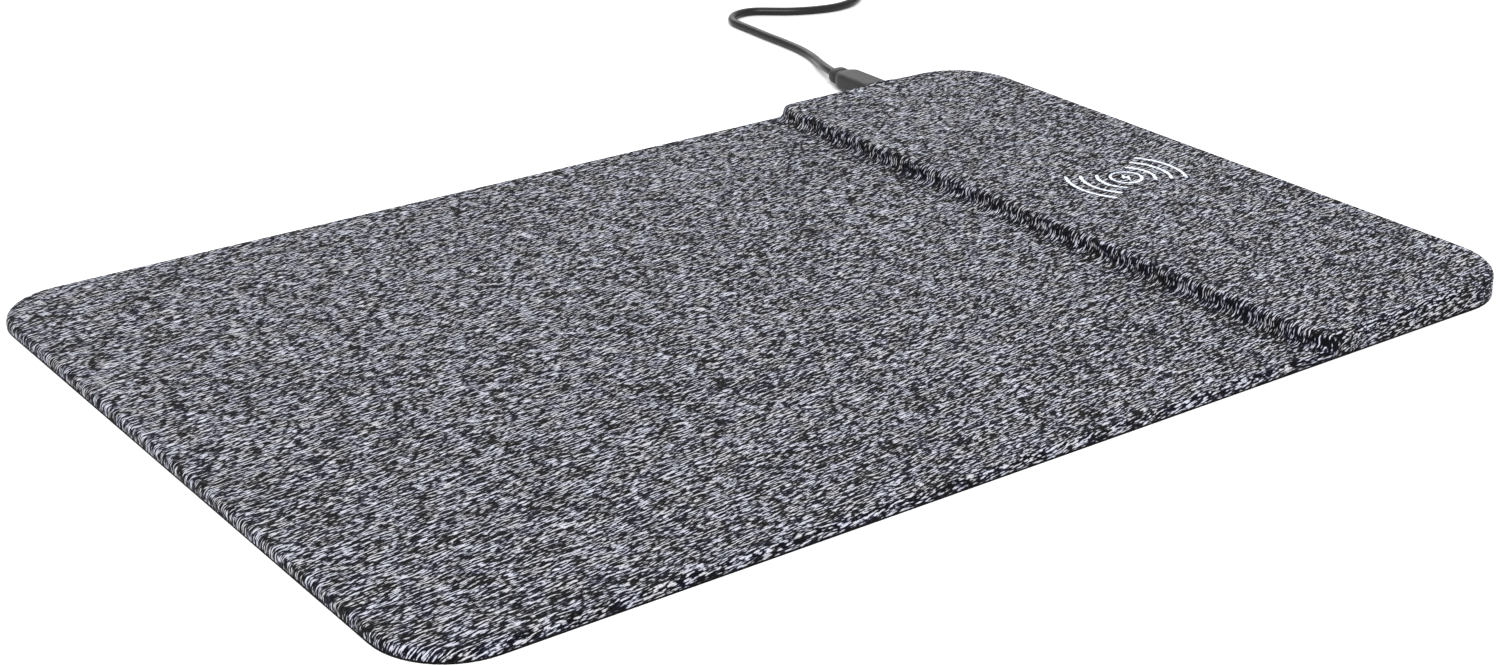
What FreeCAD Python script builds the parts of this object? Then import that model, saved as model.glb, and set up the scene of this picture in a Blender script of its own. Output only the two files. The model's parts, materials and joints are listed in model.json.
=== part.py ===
"""A fabric-covered mouse pad with a phone charger built into its raised right-hand strip.

The frame: millimetres, +X to the right towards the charging strip, +Y to the back edge where
the charge lead plugs in, +Z up. The origin is under the middle of the pad, on the desk.
"""
import FreeCAD
import Part
import math
import os
import Sketcher
from FreeCAD import Placement, Rotation, Vector

doc = FreeCAD.newDocument("ChargingMousePad")
sheet = doc.addObject("Spreadsheet::Sheet", "Dimensions")

DIMENSIONS = [
    # the pad's outside
    ("pad_length", 350.0, "left edge to right edge"),
    ("pad_width", 235.0, "front edge to back edge"),
    ("mat_height", 3.0, "mousing surface above the desk"),
    ("strip_height", 7.0, "charging strip above the desk"),
    ("step_x", 92.2, "the step's upright face"),
    ("left_corner", 20.0, "plan radius of the two left corners"),
    ("right_corner", 22.0, "plan radius of the two right corners"),
    ("step_corner", 6.0, "plan radius at the two ends of the step"),
    ("mat_edge", 1.4, "rounding of the mat's top edge"),
    ("strip_edge", 2.1, "rounding of the strip's top edge"),
    ("step_foot", 1.9, "hollow rounding at the foot of the step"),
    ("skin", 0.6, "fabric thickness"),
    ("gap", 0.1, "room beside a piece that lies under the fabric"),
    ("film", 0.05, "room above a piece that lies under the fabric"),
    ("base_rim", 0.5, "rubber edge that shows below the fabric"),
    ("base_height", 1.0, "rubber base"),
    ("port_wide", 8.6, "opening in the fabric round the socket"),
    ("port_high", 3.4, "opening in the fabric round the socket"),
    # fits
    ("bite", 0.1, "how far a rib, boss or tab goes into what it stands on"),
    ("past", 1.0, "how far a cut runs past the piece"),
    ("press_room", 0.02, "room round a pressed-in piece"),
    ("hair", 0.01, "room between two touching pieces of one plug"),
    # the charger's two shells
    ("shell_wall", 1.4, "side walls"),
    ("shell_floor", 0.8, "floor of the lower shell"),
    ("shell_roof", 0.75, "roof of the upper shell"),
    ("split_height", 3.4, "where the two shells meet"),
    ("boss_radius", 2.6, "screw bosses"),
    ("rib_width", 1.2, "stiffening ribs"),
    ("rib_start", 1.0, "from the shell's outside to the end of a rib, inside the wall"),
    ("frame_room", 0.4, "room between the coil's cushion and its frame"),
    ("frame_wall", 1.6, "wall of that frame"),
    ("post_near", 5.8, "screws from the step"),
    ("post_far", 5.5, "middle screws from the pad's right edge"),
    ("post_inner", 15.0, "corner screws from the pad's right edge"),
    ("post_end", 6.0, "screws beside the step from the front or back edge"),
    ("post_corner", 10.5, "corner screws from the front or back edge"),
    ("post_side", 38.0, "middle screws from the pad's middle"),
    ("board_post_x", 16.5, "board screws from the board's middle"),
    ("board_post_y", 5.0, "board screws from the board's front edge"),
    ("sink_radius", 2.2, "sunk place for a screw head"),
    ("sink_deep", 1.2, "sunk place for a screw head"),
    ("way_radius", 1.15, "hole that a screw goes through"),
    ("pilot_radius", 1.02, "hole that a screw bites in"),
    ("pilot_deep", 2.1, "hole that a screw bites in"),
    ("board_pilot", 0.82, "hole that a board screw bites in"),
    ("board_pilot_floor", 0.3, "plastic left under that hole"),
    ("notch_side", 0.15, "room beside the socket"),
    ("notch_above", 0.1, "room above and below the socket"),
    ("notch_past", 0.3, "how far the notch runs into the shell"),
    # the screws
    ("head_lift", 0.1, "screw heads above the shell's underside"),
    ("shell_head_radius", 2.0, "shell screw"),
    ("shell_head", 1.0, "shell screw"),
    ("shell_shank_radius", 1.0, "shell screw"),
    ("shell_shank", 3.0, "shell screw"),
    ("board_head_radius", 1.5, "board screw"),
    ("board_head", 0.8, "board screw"),
    ("board_shank_radius", 0.8, "board screw"),
    ("board_shank", 1.7, "board screw"),
    ("cross_long", 1.8, "cross recess"),
    ("cross_wide", 0.4, "cross recess"),
    ("cross_deep", 0.4, "cross recess"),
    # the charging module, on one line through the strip
    ("charge_x", 135.5, "middle of the coil, the board and the socket"),
    ("coil_radius", 22.0, "outside of the winding"),
    ("coil_bore", 10.5, "inside of the winding"),
    ("coil_height", 1.1, "thickness of the winding"),
    ("coil_pitch", 1.15, "from one turn to the next"),
    ("strand_width", 1.05, "width of one turn"),
    ("ferrite_side", 50.0, "square ferrite shield"),
    ("ferrite_height", 0.6, "thickness of the shield"),
    ("ferrite_slot", 1.4, "slot for the inner lead"),
    ("tape_height", 0.2, "adhesive between shield and winding"),
    ("sheet_corner", 3.0, "corners of the shield and of the cushion"),
    ("slot_start", 6.0, "from the coil's middle to the slot"),
    ("tape_lip", 0.5, "tape inside the winding"),
    ("wire_radius", 0.35, "the winding's two leads"),
    ("wire_room", 0.05, "room between a lead and what it lies on"),
    ("bead_radius", 0.9, "bead of the thermistor"),
    ("leg_radius", 0.2, "legs of the thermistor"),
    ("leg_aside", 0.45, "each leg from the bead's middle"),
    ("board_width", 41.0, "circuit board, left to right"),
    ("board_front", 70.0, "board's front edge"),
    ("board_back", 114.9, "board's back edge"),
    ("board_low", 2.4, "board's underside"),
    ("board_thick", 0.8, "board's thickness"),
    ("board_hole", 1.0, "radius of the board's screw holes"),
    ("board_room", 0.2, "board behind the socket"),
    ("chip_side", 6.0, "controller chip"),
    ("chip_tall", 0.9, "controller chip"),
    ("chip_x", -3.0, "chip's middle from the board's middle"),
    ("chip_y", 22.0, "chip's middle from the board's front edge"),
    ("dimple_radius", 0.4, "dimple at the chip's first leg"),
    ("dimple_in", 0.8, "from the chip's edges to that dimple"),
    ("dimple_deep", 0.1, "depth of that dimple"),
    ("inductor_side", 6.0, "power inductor"),
    ("inductor_tall", 2.0, "power inductor"),
    ("inductor_corner", 1.4, "power inductor"),
    ("inductor_edge", 0.3, "power inductor"),
    ("inductor_x", 12.0, "inductor's middle from the board's middle"),
    ("inductor_y", 33.0, "inductor's middle from the board's front edge"),
    # the micro-USB socket
    ("port_z", 3.55, "middle of the socket and of the plug"),
    ("socket_width", 7.5, "outside of the socket shell"),
    ("socket_tall", 2.5, "outside of the socket shell"),
    ("socket_deep", 5.6, "length of the socket shell"),
    ("socket_sheet", 0.27, "sheet of the socket shell"),
    ("slope_wide", 1.2, "cut-off lower corners of socket and plug"),
    ("slope_tall", 0.8, "cut-off lower corners of socket and plug"),
    ("tab_reach", 1.5, "soldered tabs beside the shell"),
    ("tab_front", 2.0, "tabs from the mouth"),
    ("tab_back", 4.2, "tabs from the mouth"),
    ("tab_thick", 0.25, "tabs"),
    ("insert_thick", 0.5, "plastic at the socket's back"),
    ("tongue_half", 1.9, "half the width of the tongue"),
    ("tongue_tip", 1.2, "tongue's tip from the mouth"),
    ("tongue_root", 0.4, "tongue's root from the socket's back"),
    ("tongue_low", 0.12, "tongue's underside above the socket's middle"),
    ("tongue_high", 0.55, "tongue's top above the socket's middle"),
    ("contact_width", 0.3, "contacts of socket and plug"),
    ("contact_pitch", 0.65, "contacts of socket and plug"),
    ("contact_thick", 0.1, "contacts of the socket"),
    ("contact_short", 2.0, "socket's length less that of its contacts"),
    # the plug on the pad end of the lead
    ("nose_width", 6.8, "metal nose of the plug"),
    ("nose_tall", 1.8, "metal nose of the plug"),
    ("nose_sheet", 0.25, "sheet of the nose"),
    ("nose_reach", 5.0, "how far the nose goes into the socket"),
    ("nose_root", 1.5, "how far the nose goes into the grip"),
    ("plug_block", 2.0, "plastic at the nose's root"),
    ("bed_top", 0.2, "plastic under the plug's contacts, below the plug's middle"),
    ("bed_short", 0.4, "that plastic from the nose's tip"),
    ("plug_contact_tip", 0.8, "plug's contacts from the nose's tip"),
    ("plug_contact_thick", 0.12, "contacts of the plug"),
    ("grip_width", 9.8, "moulded grip"),
    ("grip_tall", 5.9, "moulded grip"),
    ("grip_front", 117.9, "front face of the grip"),
    ("grip_back", 133.6, "where the grip starts to narrow"),
    ("collar_front", 137.3, "where the narrow collar starts"),
    ("collar_back", 140.9, "back of the collar"),
    ("collar_width", 6.4, "narrow collar"),
    ("collar_tall", 4.6, "narrow collar"),
    ("grip_corner", 2.0, "corners of grip and collar"),
    ("grip_edge", 0.6, "edge of the grip's front face"),
    ("collar_lip", 0.7, "thickest place of the collar from its back"),
    ("collar_swell", 0.4, "how much thicker it is there"),
    ("collar_taper", 1.0, "how much thinner its back is than its front"),
    ("collar_end_corner", 1.7, "corners of its back"),
    # the lead
    ("cord_radius", 1.5, "radius of the lead"),
    ("coil_x", 238.0, "middle of the put-away coil"),
    ("coil_y", 224.0, "middle of the put-away coil"),
    ("coil_lift", 0.5, "coil above the desk, on its tie"),
    ("ring_inner", 12.0, "innermost turn of the put-away coil"),
    ("row_rise", 2.8, "from one row of turns to the next"),
    ("bundle_side", 2.4, "upright sides of the coil's bundle"),
    ("bundle_slope", 2.8, "how far its shoulders lean in"),
    ("tie_width", 4.0, "tie round the coil"),
    ("tie_sheet", 0.4, "thickness of the tie"),
    ("tie_room", 0.08, "room between the tie and the bundle"),
    ("tie_side", 0.15, "further room at the bundle's sides"),
    ("twist_radius", 0.8, "the tie's twisted ends"),
    ("twist_long", 9.0, "the tie's twisted ends"),
    ("twist_start", 0.5, "from the bundle to the twisted ends"),
    ("twist_height", 1.6, "the twisted ends above the desk"),
    # the USB-A plug on the far end
    ("plug_width", 16.0, "moulded grip of the USB-A plug"),
    ("plug_tall", 8.0, "moulded grip of the USB-A plug"),
    ("plug_long", 26.0, "moulded grip of the USB-A plug"),
    ("shell_width", 12.0, "metal shell of the USB-A plug"),
    ("shell_tall", 4.5, "metal shell of the USB-A plug"),
    ("shell_long", 12.0, "metal shell of the USB-A plug, clear of the grip"),
    ("shell_sheet", 0.3, "sheet of the USB-A shell"),
    ("relief_long", 9.0, "tapered strain relief of the USB-A plug"),
    ("relief_thin_width", 4.6, "the relief where the lead goes in"),
    ("relief_thin_tall", 4.2, "the relief where the lead goes in"),
    ("relief_thin_corner", 1.9, "the relief where the lead goes in"),
    ("relief_thick_width", 8.0, "the relief at the grip"),
    ("relief_thick_tall", 6.0, "the relief at the grip"),
    ("relief_thick_corner", 2.4, "the relief at the grip"),
    ("plug_corner", 2.2, "long edges of the USB-A grip"),
    ("plug_edge", 1.2, "end edges of the USB-A grip"),
    ("shell_corner", 0.5, "corners of the metal shell"),
    ("shell_root", 4.0, "how far the metal shell goes into the grip"),
    ("window_front", 4.5, "the shell's windows from the grip"),
    ("window_side", 2.5, "the shell's windows"),
    ("window_in", 1.4, "each window from the shell's middle"),
    ("wide_tongue_tip", 0.4, "USB-A tongue from the shell's mouth"),
    ("wide_tongue_side", 0.1, "room beside that tongue"),
    ("wide_tongue_under", 0.08, "room under that tongue"),
    ("wide_tongue_top", 0.1, "that tongue's top below the plug's middle"),
    ("wide_tongue_root", 3.2, "how far that tongue goes into the grip"),
    ("wide_contact_width", 1.0, "USB-A contacts"),
    ("wide_contact_thick", 0.12, "USB-A contacts"),
    # the printed mark
    ("mark_x", 136.5, "middle of the mark"),
    ("mark_y", 0.4, "middle of the mark"),
    ("mark_ring", 5.2, "outer radius of the ring"),
    ("mark_line", 1.05, "width of its lines"),
    ("mark_height", 0.06, "thickness of the print"),
    ("mark_thin", 0.8, "the ring's line as a share of the arcs' line"),
]
for row, (alias, number, meaning) in enumerate(DIMENSIONS, start=1):
    sheet.set(f"A{row}", alias)
    sheet.set(f"B{row}", str(number))
    sheet.setAlias(f"B{row}", alias)
    sheet.set(f"C{row}", meaning)
doc.recompute()

NODES = []          # every finished sub-part, in the order it is made
TOUCHING = 1e-4     # mm between two places that count as the same
REMOVED = 1e-6      # cubic mm that a cut has to take away


def value(expression):
    """The number, in millimetres, that an expression of the sheet's cells comes to."""
    return float(sheet.evalExpression(expression.replace("D.", "")))


def bind(thing, prop, expression):
    """Ties a property to the sheet. D.name in an expression means that cell."""
    thing.setExpression(prop, expression.replace("D.", "Dimensions."))


# ---------------------------------------------------------------- sketches and features

def finish(thing):
    """Counts an object as a finished sub-part of the pad."""
    thing.Label = thing.Name
    NODES.append(thing)
    return thing


def new_body(label, x="0", y="0", z="0", node=True):
    """A body, placed by three expressions. It is a sub-part unless it only helps to make one."""
    body = doc.addObject("PartDesign::Body", label)
    for axis, expression in (("x", x), ("y", y), ("z", z)):
        bind(body, f"Placement.Base.{axis}", expression)
    return finish(body) if node else body


def new_sketch(body, plane, offset="0"):
    """A sketch on the body's own XY, XZ or YZ plane, moved along that plane's normal."""
    sketch = body.newObject("Sketcher::SketchObject", body.Name + "_sketch")
    origin = next(f for f in body.Origin.OriginFeatures if f.Role == plane + "_Plane")
    sketch.AttachmentSupport = [(origin, "")]
    sketch.MapMode = "FlatFace"
    bind(sketch, "AttachmentOffset.Base.z", offset)
    return sketch


def pin_point(sketch, geometry, point, x=None, y=None):
    """Holds a point of the sketch at x, y from its origin, each bound to the sheet."""
    for kind, expression in (("DistanceX", x), ("DistanceY", y)):
        if expression is None:
            continue
        distance = value(expression)
        if distance >= 0:
            made = sketch.addConstraint(Sketcher.Constraint(kind, -1, 1, geometry, point, distance))
            bind(sketch, f"Constraints[{made}]", expression)
        else:
            made = sketch.addConstraint(Sketcher.Constraint(kind, geometry, point, -1, 1, -distance))
            bind(sketch, f"Constraints[{made}]", f"-({expression})")


def polygon(sketch, corners):
    """A closed outline of straight lines through corners given as pairs of expressions."""
    first = sketch.GeometryCount
    places = [Vector(value(x), value(y), 0) for x, y in corners]
    count = len(places)
    for i in range(count):
        sketch.addGeometry(Part.LineSegment(places[i], places[(i + 1) % count]))
    for i in range(count):
        following = first + (i + 1) % count
        sketch.addConstraint(Sketcher.Constraint("Coincident", first + i, 2, following, 1))
    for i, (x, y) in enumerate(corners):
        pin_point(sketch, first + i, 1, x, y)


def rectangle(sketch, west, east, south, north):
    polygon(sketch, [(west, south), (east, south), (east, north), (west, north)])


def rounded_rectangle(sketch, west, east, south, north, corners):
    """Four sides joined by tangent arcs; corners are the radii from south-west, anticlockwise."""
    first = sketch.GeometryCount
    w, e, s, n = (value(side) for side in (west, east, south, north))
    sw, se, ne, nw = (value(radius) for radius in corners)
    up = Vector(0, 0, 1)
    sides = [((w + sw, s), (e - se, s)), ((e, s + se), (e, n - ne)),
             ((e - ne, n), (w + nw, n)), ((w, n - nw), (w, s + sw))]
    bends = [((e - se, s + se), se, 270), ((e - ne, n - ne), ne, 0),
             ((w + nw, n - nw), nw, 90), ((w + sw, s + sw), sw, 180)]
    for (start, end), (centre, radius, angle) in zip(sides, bends):
        sketch.addGeometry(Part.LineSegment(Vector(*start, 0), Vector(*end, 0)))
        circle = Part.Circle(Vector(*centre, 0), up, radius)
        sketch.addGeometry(Part.ArcOfCircle(circle, math.radians(angle), math.radians(angle + 90)))
    for i in range(8):
        sketch.addConstraint(Sketcher.Constraint("Tangent", first + i, 2, first + (i + 1) % 8, 1))
    for i, kind in ((0, "Horizontal"), (2, "Vertical"), (4, "Horizontal"), (6, "Vertical")):
        sketch.addConstraint(Sketcher.Constraint(kind, first + i))
    pin_point(sketch, first, 1, y=south)
    pin_point(sketch, first + 2, 1, x=east)
    pin_point(sketch, first + 4, 1, y=north)
    pin_point(sketch, first + 6, 1, x=west)
    for i, radius in ((1, corners[1]), (3, corners[2]), (5, corners[3]), (7, corners[0])):
        made = sketch.addConstraint(Sketcher.Constraint("Radius", first + i, value(radius)))
        bind(sketch, f"Constraints[{made}]", radius)


def centred_box(sketch, width, tall, radius):
    """A rounded rectangle about the sketch's origin."""
    rounded_rectangle(sketch, f"-({width})/2", f"({width})/2", f"-({tall})/2", f"({tall})/2",
                      [radius] * 4)


def circle(sketch, x, y, radius):
    made = sketch.addGeometry(Part.Circle(Vector(value(x), value(y), 0), Vector(0, 0, 1),
                                          value(radius)))
    pin_point(sketch, made, 3, x, y)
    held = sketch.addConstraint(Sketcher.Constraint("Radius", made, value(radius)))
    bind(sketch, f"Constraints[{held}]", radius)


def pad(body, sketch, length, reverse=False):
    feature = body.newObject("PartDesign::Pad", body.Name + "_pad")
    feature.Profile = sketch
    feature.Reversed = reverse
    bind(feature, "Length", length)
    doc.recompute()
    return feature


def pocket(body, sketch, length, reverse=False):
    """Cuts along the sketch's normal when reverse is set, and against it otherwise."""
    before = body.Shape.Volume
    feature = body.newObject("PartDesign::Pocket", body.Name + "_pocket")
    feature.Profile = sketch
    feature.Reversed = reverse
    bind(feature, "Length", length)
    doc.recompute()
    if not feature.Shape.Volume < before - REMOVED:
        raise ValueError(f"{feature.Name} removes nothing")
    return feature


def fillet(body, chosen, radius):
    """Rounds the edges of the body's last feature that pass the test `chosen`."""
    base = body.Tip
    names = [f"Edge{i}" for i, edge in enumerate(base.Shape.Edges, start=1) if chosen(edge)]
    if not names:
        raise ValueError(f"{body.Name} has no such edge")
    feature = body.newObject("PartDesign::Fillet", body.Name + "_fillet")
    feature.Base = (base, names)
    bind(feature, "Radius", radius)
    doc.recompute()
    return feature


def level_with(height):
    """A test for edges that lie flat at one height of the body's own frame."""
    return lambda edge: (abs(edge.BoundBox.ZMin - height) < TOUCHING
                         and abs(edge.BoundBox.ZMax - height) < TOUCHING)


def loft(body, sketches):
    feature = body.newObject("PartDesign::AdditiveLoft", body.Name + "_loft")
    feature.Profile = sketches[0]
    feature.Sections = sketches[1:]
    feature.Ruled = True
    doc.recompute()
    return feature


# ---------------------------------------------------------------- primitives and groups

def box(name, size, at):
    """A Part::Box from size and corner, each three expressions."""
    solid = doc.addObject("Part::Box", name)
    for prop, expression in zip(("Length", "Width", "Height"), size):
        bind(solid, prop, expression)
    for axis, expression in zip("xyz", at):
        bind(solid, f"Placement.Base.{axis}", expression)
    return solid


def cylinder(name, radius, height, at, angle=None, turned=0.0):
    """A Part::Cylinder standing on `at`, or a sector of one that starts at `turned` degrees."""
    solid = doc.addObject("Part::Cylinder", name)
    bind(solid, "Radius", radius)
    bind(solid, "Height", height)
    if angle is not None:
        solid.Angle = angle
    solid.Placement = Placement(Vector(0, 0, 0), Rotation(Vector(0, 0, 1), turned))
    for axis, expression in zip("xyz", at):
        bind(solid, f"Placement.Base.{axis}", expression)
    return solid


def cut(name, base, tool):
    solid = doc.addObject("Part::Cut", name)
    solid.Base = base
    solid.Tool = tool
    return solid


def fuse(name, solids):
    solid = doc.addObject("Part::MultiFuse", name)
    solid.Shapes = solids
    return solid


def group(label, solids):
    """One node made of several separate solids."""
    compound = doc.addObject("Part::Compound", label)
    compound.Links = solids
    return finish(compound)


def feature(label, shape, placement=None):
    """One node from a shape that only Part's own functions can make."""
    thing = doc.addObject("Part::Feature", label)
    thing.Shape = shape
    thing.Placement = placement or Placement()
    return finish(thing)


# ---------------------------------------------------------------- the mat

def whole_outline(sketch, inset):
    """The pad's plan outline, drawn in by inset."""
    left, right = f"D.left_corner - ({inset})", f"D.right_corner - ({inset})"
    rounded_rectangle(sketch, f"-D.pad_length / 2 + ({inset})", f"D.pad_length / 2 - ({inset})",
                      f"-D.pad_width / 2 + ({inset})", f"D.pad_width / 2 - ({inset})",
                      [left, right, right, left])


def strip_outline(sketch, inset):
    """The charging strip's plan outline, drawn in by inset."""
    step, right = f"D.step_corner - ({inset})", f"D.right_corner - ({inset})"
    rounded_rectangle(sketch, f"D.step_x + ({inset})", f"D.pad_length / 2 - ({inset})",
                      f"-D.pad_width / 2 + ({inset})", f"D.pad_width / 2 - ({inset})",
                      [step, right, right, step])


def make_rubber_base():
    """The non-slip sheet under everything, with a rim that the fabric's hem sits on."""
    body = new_body("rubber_base")
    rim = new_sketch(body, "XY")
    whole_outline(rim, "0")
    pad(body, rim, "D.base_rim")
    middle = new_sketch(body, "XY")
    whole_outline(middle, "D.skin + D.gap")
    pad(body, middle, "D.base_height")


def make_foam_core():
    """The soft sheet under the mousing surface."""
    body = new_body("foam_core")
    sketch = new_sketch(body, "XY", "D.base_height")
    inset = "(D.skin + D.gap)"
    rounded_rectangle(sketch, f"-D.pad_length / 2 + {inset}", "D.step_x + D.skin - D.gap",
                      f"-D.pad_width / 2 + {inset}", f"D.pad_width / 2 - {inset}",
                      [f"D.left_corner - {inset}", "D.mat_edge", "D.mat_edge",
                       f"D.left_corner - {inset}"])
    pad(body, sketch, "D.mat_height - D.skin - D.film - D.base_height")
    top = value("D.mat_height - D.skin - D.film")
    fillet(body, lambda edge: level_with(top)(edge) and edge.BoundBox.XMin < 0,
           "D.mat_edge - D.skin")


def slab(name, outline, inset, height, rounding):
    """A plain slab from the rim up to a height, rounded along its top edge: one boolean tool."""
    body = new_body(name, node=False)
    sketch = new_sketch(body, "XY", "D.base_rim")
    outline(sketch, inset)
    pad(body, sketch, f"({height}) - D.base_rim")
    fillet(body, level_with(value(height)), rounding)
    return body


def step_foot():
    """The hollow corner where the mat meets the step: a square bar less a round one."""
    long = "D.pad_width - 2 * D.step_corner"
    south = "-D.pad_width / 2 + D.step_corner"
    bar = box("step_foot_bar", ("D.step_foot + D.skin", long, "D.step_foot"),
              ("D.step_x - D.step_foot", south, "D.mat_height"))
    hollow = doc.addObject("Part::Cylinder", "step_foot_hollow")
    bind(hollow, "Radius", "D.step_foot")
    bind(hollow, "Height", long)
    hollow.Placement = Placement(Vector(0, 0, 0), Rotation(Vector(1, 0, 0), -90))
    bind(hollow, "Placement.Base.x", "D.step_x - D.step_foot")
    bind(hollow, "Placement.Base.y", south)
    bind(hollow, "Placement.Base.z", "D.mat_height + D.step_foot")
    return cut("step_foot", bar, hollow)


def make_fabric_cover():
    """One skin of knitted fabric over the mat, up the step and over the strip, open below."""
    outside = fuse("cover_outside", [
        slab("mat_outside", whole_outline, "0", "D.mat_height", "D.mat_edge"),
        slab("strip_outside", strip_outline, "0", "D.strip_height", "D.strip_edge"),
        step_foot()])
    inside = fuse("cover_inside", [
        slab("mat_inside", whole_outline, "D.skin", "D.mat_height - D.skin", "D.mat_edge - D.skin"),
        slab("strip_inside", strip_outline, "D.skin", "D.strip_height - D.skin",
             "D.strip_edge - D.skin")])
    port = box("cover_port", ("D.port_wide", "D.skin + 2 * D.past", "D.port_high"),
               ("D.charge_x - D.port_wide / 2", "D.pad_width / 2 - D.skin - D.past",
                "D.port_z - D.port_high / 2"))
    plain = cut("cover_with_port", cut("cover_skin", outside, inside), port)
    finish(cut("fabric_cover", plain, doc.getObject("charging_mark")))


# ---------------------------------------------------------------- the charger's shells

def shell_corner_posts():
    """The eight screw places of the shells, as pairs of expressions."""
    near, far = "D.step_x + D.post_near", "D.pad_length / 2 - D.post_far"
    inner = "D.pad_length / 2 - D.post_inner"
    end, corner = "D.pad_width / 2 - D.post_end", "D.pad_width / 2 - D.post_corner"
    return [(near, f"-({end})"), (near, end), (inner, f"-({corner})"), (inner, corner),
            (near, "-D.post_side"), (near, "D.post_side"),
            (far, "-D.post_side"), (far, "D.post_side")]


BOARD_POSTS = [("D.charge_x - D.board_post_x", "D.board_front + D.board_post_y"),
               ("D.charge_x + D.board_post_x", "D.board_front + D.board_post_y")]
# where the ribs cross the shells, back from the pad's middle
LOWER_RIBS = ("-92", "-72", "-52", "50")
UPPER_RIBS = ("-92", "-72", "-52")


def add_ribs(body, places, low, high):
    """Straight ribs from side wall to side wall of a shell, between two heights."""
    for y in places:
        sketch = new_sketch(body, "XY", low)
        rectangle(sketch, "D.step_x + D.skin + D.gap + D.rib_start",
                  "D.pad_length / 2 - D.skin - D.gap - D.rib_start",
                  f"{y} - D.rib_width / 2", f"{y} + D.rib_width / 2")
        pad(body, sketch, f"({high}) - ({low})")


def add_bosses(body, places, radius, low, high):
    sketch = new_sketch(body, "XY", low)
    for x, y in places:
        circle(sketch, x, y, radius)
    pad(body, sketch, f"({high}) - ({low})")


def drill(body, places, radius, low, depth):
    """Round holes upwards from one height."""
    sketch = new_sketch(body, "XY", low)
    for x, y in places:
        circle(sketch, x, y, radius)
    pocket(body, sketch, depth, reverse=True)


def notch_for_socket(body):
    """The way through the back wall that the socket looks out of."""
    sketch = new_sketch(body, "XZ", "-(D.pad_width / 2)")
    half, tall = "(D.socket_width / 2 + D.notch_side)", "(D.socket_tall / 2 + D.notch_above)"
    rectangle(sketch, f"D.charge_x - {half}", f"D.charge_x + {half}",
              f"D.port_z - {tall}", f"D.port_z + {tall}")
    pocket(body, sketch, "D.skin + D.gap + D.shell_wall + D.notch_past", reverse=True)


def make_charger_base():
    """The lower shell: a shallow tray with bosses, ribs and a frame round the coil's cushion."""
    body = new_body("charger_base")
    inset = "D.skin + D.gap"
    outline = new_sketch(body, "XY", "D.base_height")
    strip_outline(outline, inset)
    pad(body, outline, "D.split_height - D.base_height")
    hollow = new_sketch(body, "XY", "D.base_height + D.shell_floor")
    strip_outline(hollow, f"{inset} + D.shell_wall")
    pocket(body, hollow, "D.split_height - D.base_height - D.shell_floor", reverse=True)
    floor = "D.base_height + D.shell_floor"
    bottom = f"{floor} - D.bite"
    add_ribs(body, LOWER_RIBS, bottom, "D.split_height - D.bite")
    frame = new_sketch(body, "XY", bottom)
    for side in ("D.ferrite_side + 2 * (D.frame_room + D.frame_wall)",
                 "D.ferrite_side + 2 * D.frame_room"):
        rectangle(frame, f"D.charge_x - ({side}) / 2", f"D.charge_x + ({side}) / 2",
                  f"-({side}) / 2", f"({side}) / 2")
    pad(body, frame, f"D.split_height - ({floor})")
    posts = shell_corner_posts()
    add_bosses(body, posts, "D.boss_radius", bottom, "D.split_height")
    add_bosses(body, BOARD_POSTS, "D.boss_radius", bottom, "D.board_low")
    drill(body, posts, "D.sink_radius", "D.base_height", "D.sink_deep")
    drill(body, posts, "D.way_radius", "D.base_height", "D.split_height - D.base_height")
    drill(body, BOARD_POSTS, "D.board_pilot", "D.base_height + D.board_pilot_floor",
          "D.board_low - D.base_height - D.board_pilot_floor")
    notch_for_socket(body)


def make_charger_lid():
    """The upper shell: rounded along its top edge, with ribs and blind screw bosses."""
    body = new_body("charger_lid")
    inset = "D.skin + D.gap"
    outside = "D.strip_height - D.skin - D.film"
    outline = new_sketch(body, "XY", "D.split_height")
    strip_outline(outline, inset)
    pad(body, outline, f"{outside} - D.split_height")
    fillet(body, level_with(value(outside)), "D.strip_edge - D.skin")
    hollow = new_sketch(body, "XY", "D.split_height")
    strip_outline(hollow, f"{inset} + D.shell_wall")
    pocket(body, hollow, f"{outside} - D.shell_roof - D.split_height", reverse=True)
    ceiling = f"{outside} - D.shell_roof"
    posts = shell_corner_posts()
    add_ribs(body, UPPER_RIBS, "D.split_height + D.bite", f"{ceiling} + D.bite")
    add_bosses(body, posts, "D.boss_radius", "D.split_height", f"{ceiling} + D.bite")
    drill(body, posts, "D.pilot_radius", "D.split_height", "D.pilot_deep")
    notch_for_socket(body)


def make_screw(name, x, y, low, size, upwards=True):
    """A pan-head screw with a cross recess. Its head is at `low`, and it points up or down.

    `size` names the sheet's cells for its head and its shank: shell or board.
    """
    head, shank = f"D.{size}_head", f"D.{size}_shank"
    head_at = (x, y, low if upwards else f"{low} - {head}")
    shank_at = (x, y, f"{low} + {head}" if upwards else f"{low} - {head} - {shank}")
    solid = fuse(name, [cylinder(name + "_head", head + "_radius", head, head_at),
                        cylinder(name + "_shank", shank + "_radius", shank, shank_at)])
    slot_z = f"{low} - D.bite" if upwards else f"{low} - D.cross_deep"
    deep = "D.cross_deep + D.bite"
    arms = [box(name + "_slot_a", ("D.cross_long", "D.cross_wide", deep),
                (f"{x} - D.cross_long / 2", f"{y} - D.cross_wide / 2", slot_z)),
            box(name + "_slot_b", ("D.cross_wide", "D.cross_long", deep),
                (f"{x} - D.cross_wide / 2", f"{y} - D.cross_long / 2", slot_z))]
    return cut(name + "_screw", solid, fuse(name + "_cross", arms))


def make_screws():
    group("shell_screws", [make_screw(f"shell_screw_{i}", x, y, "D.base_height + D.head_lift", "shell")
                           for i, (x, y) in enumerate(shell_corner_posts())])
    top = "D.board_low + D.board_thick + D.board_head"
    group("board_screws", [make_screw(f"board_screw_{i}", x, y, top, "board", upwards=False)
                           for i, (x, y) in enumerate(BOARD_POSTS)])


# ---------------------------------------------------------------- the charging coil

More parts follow.
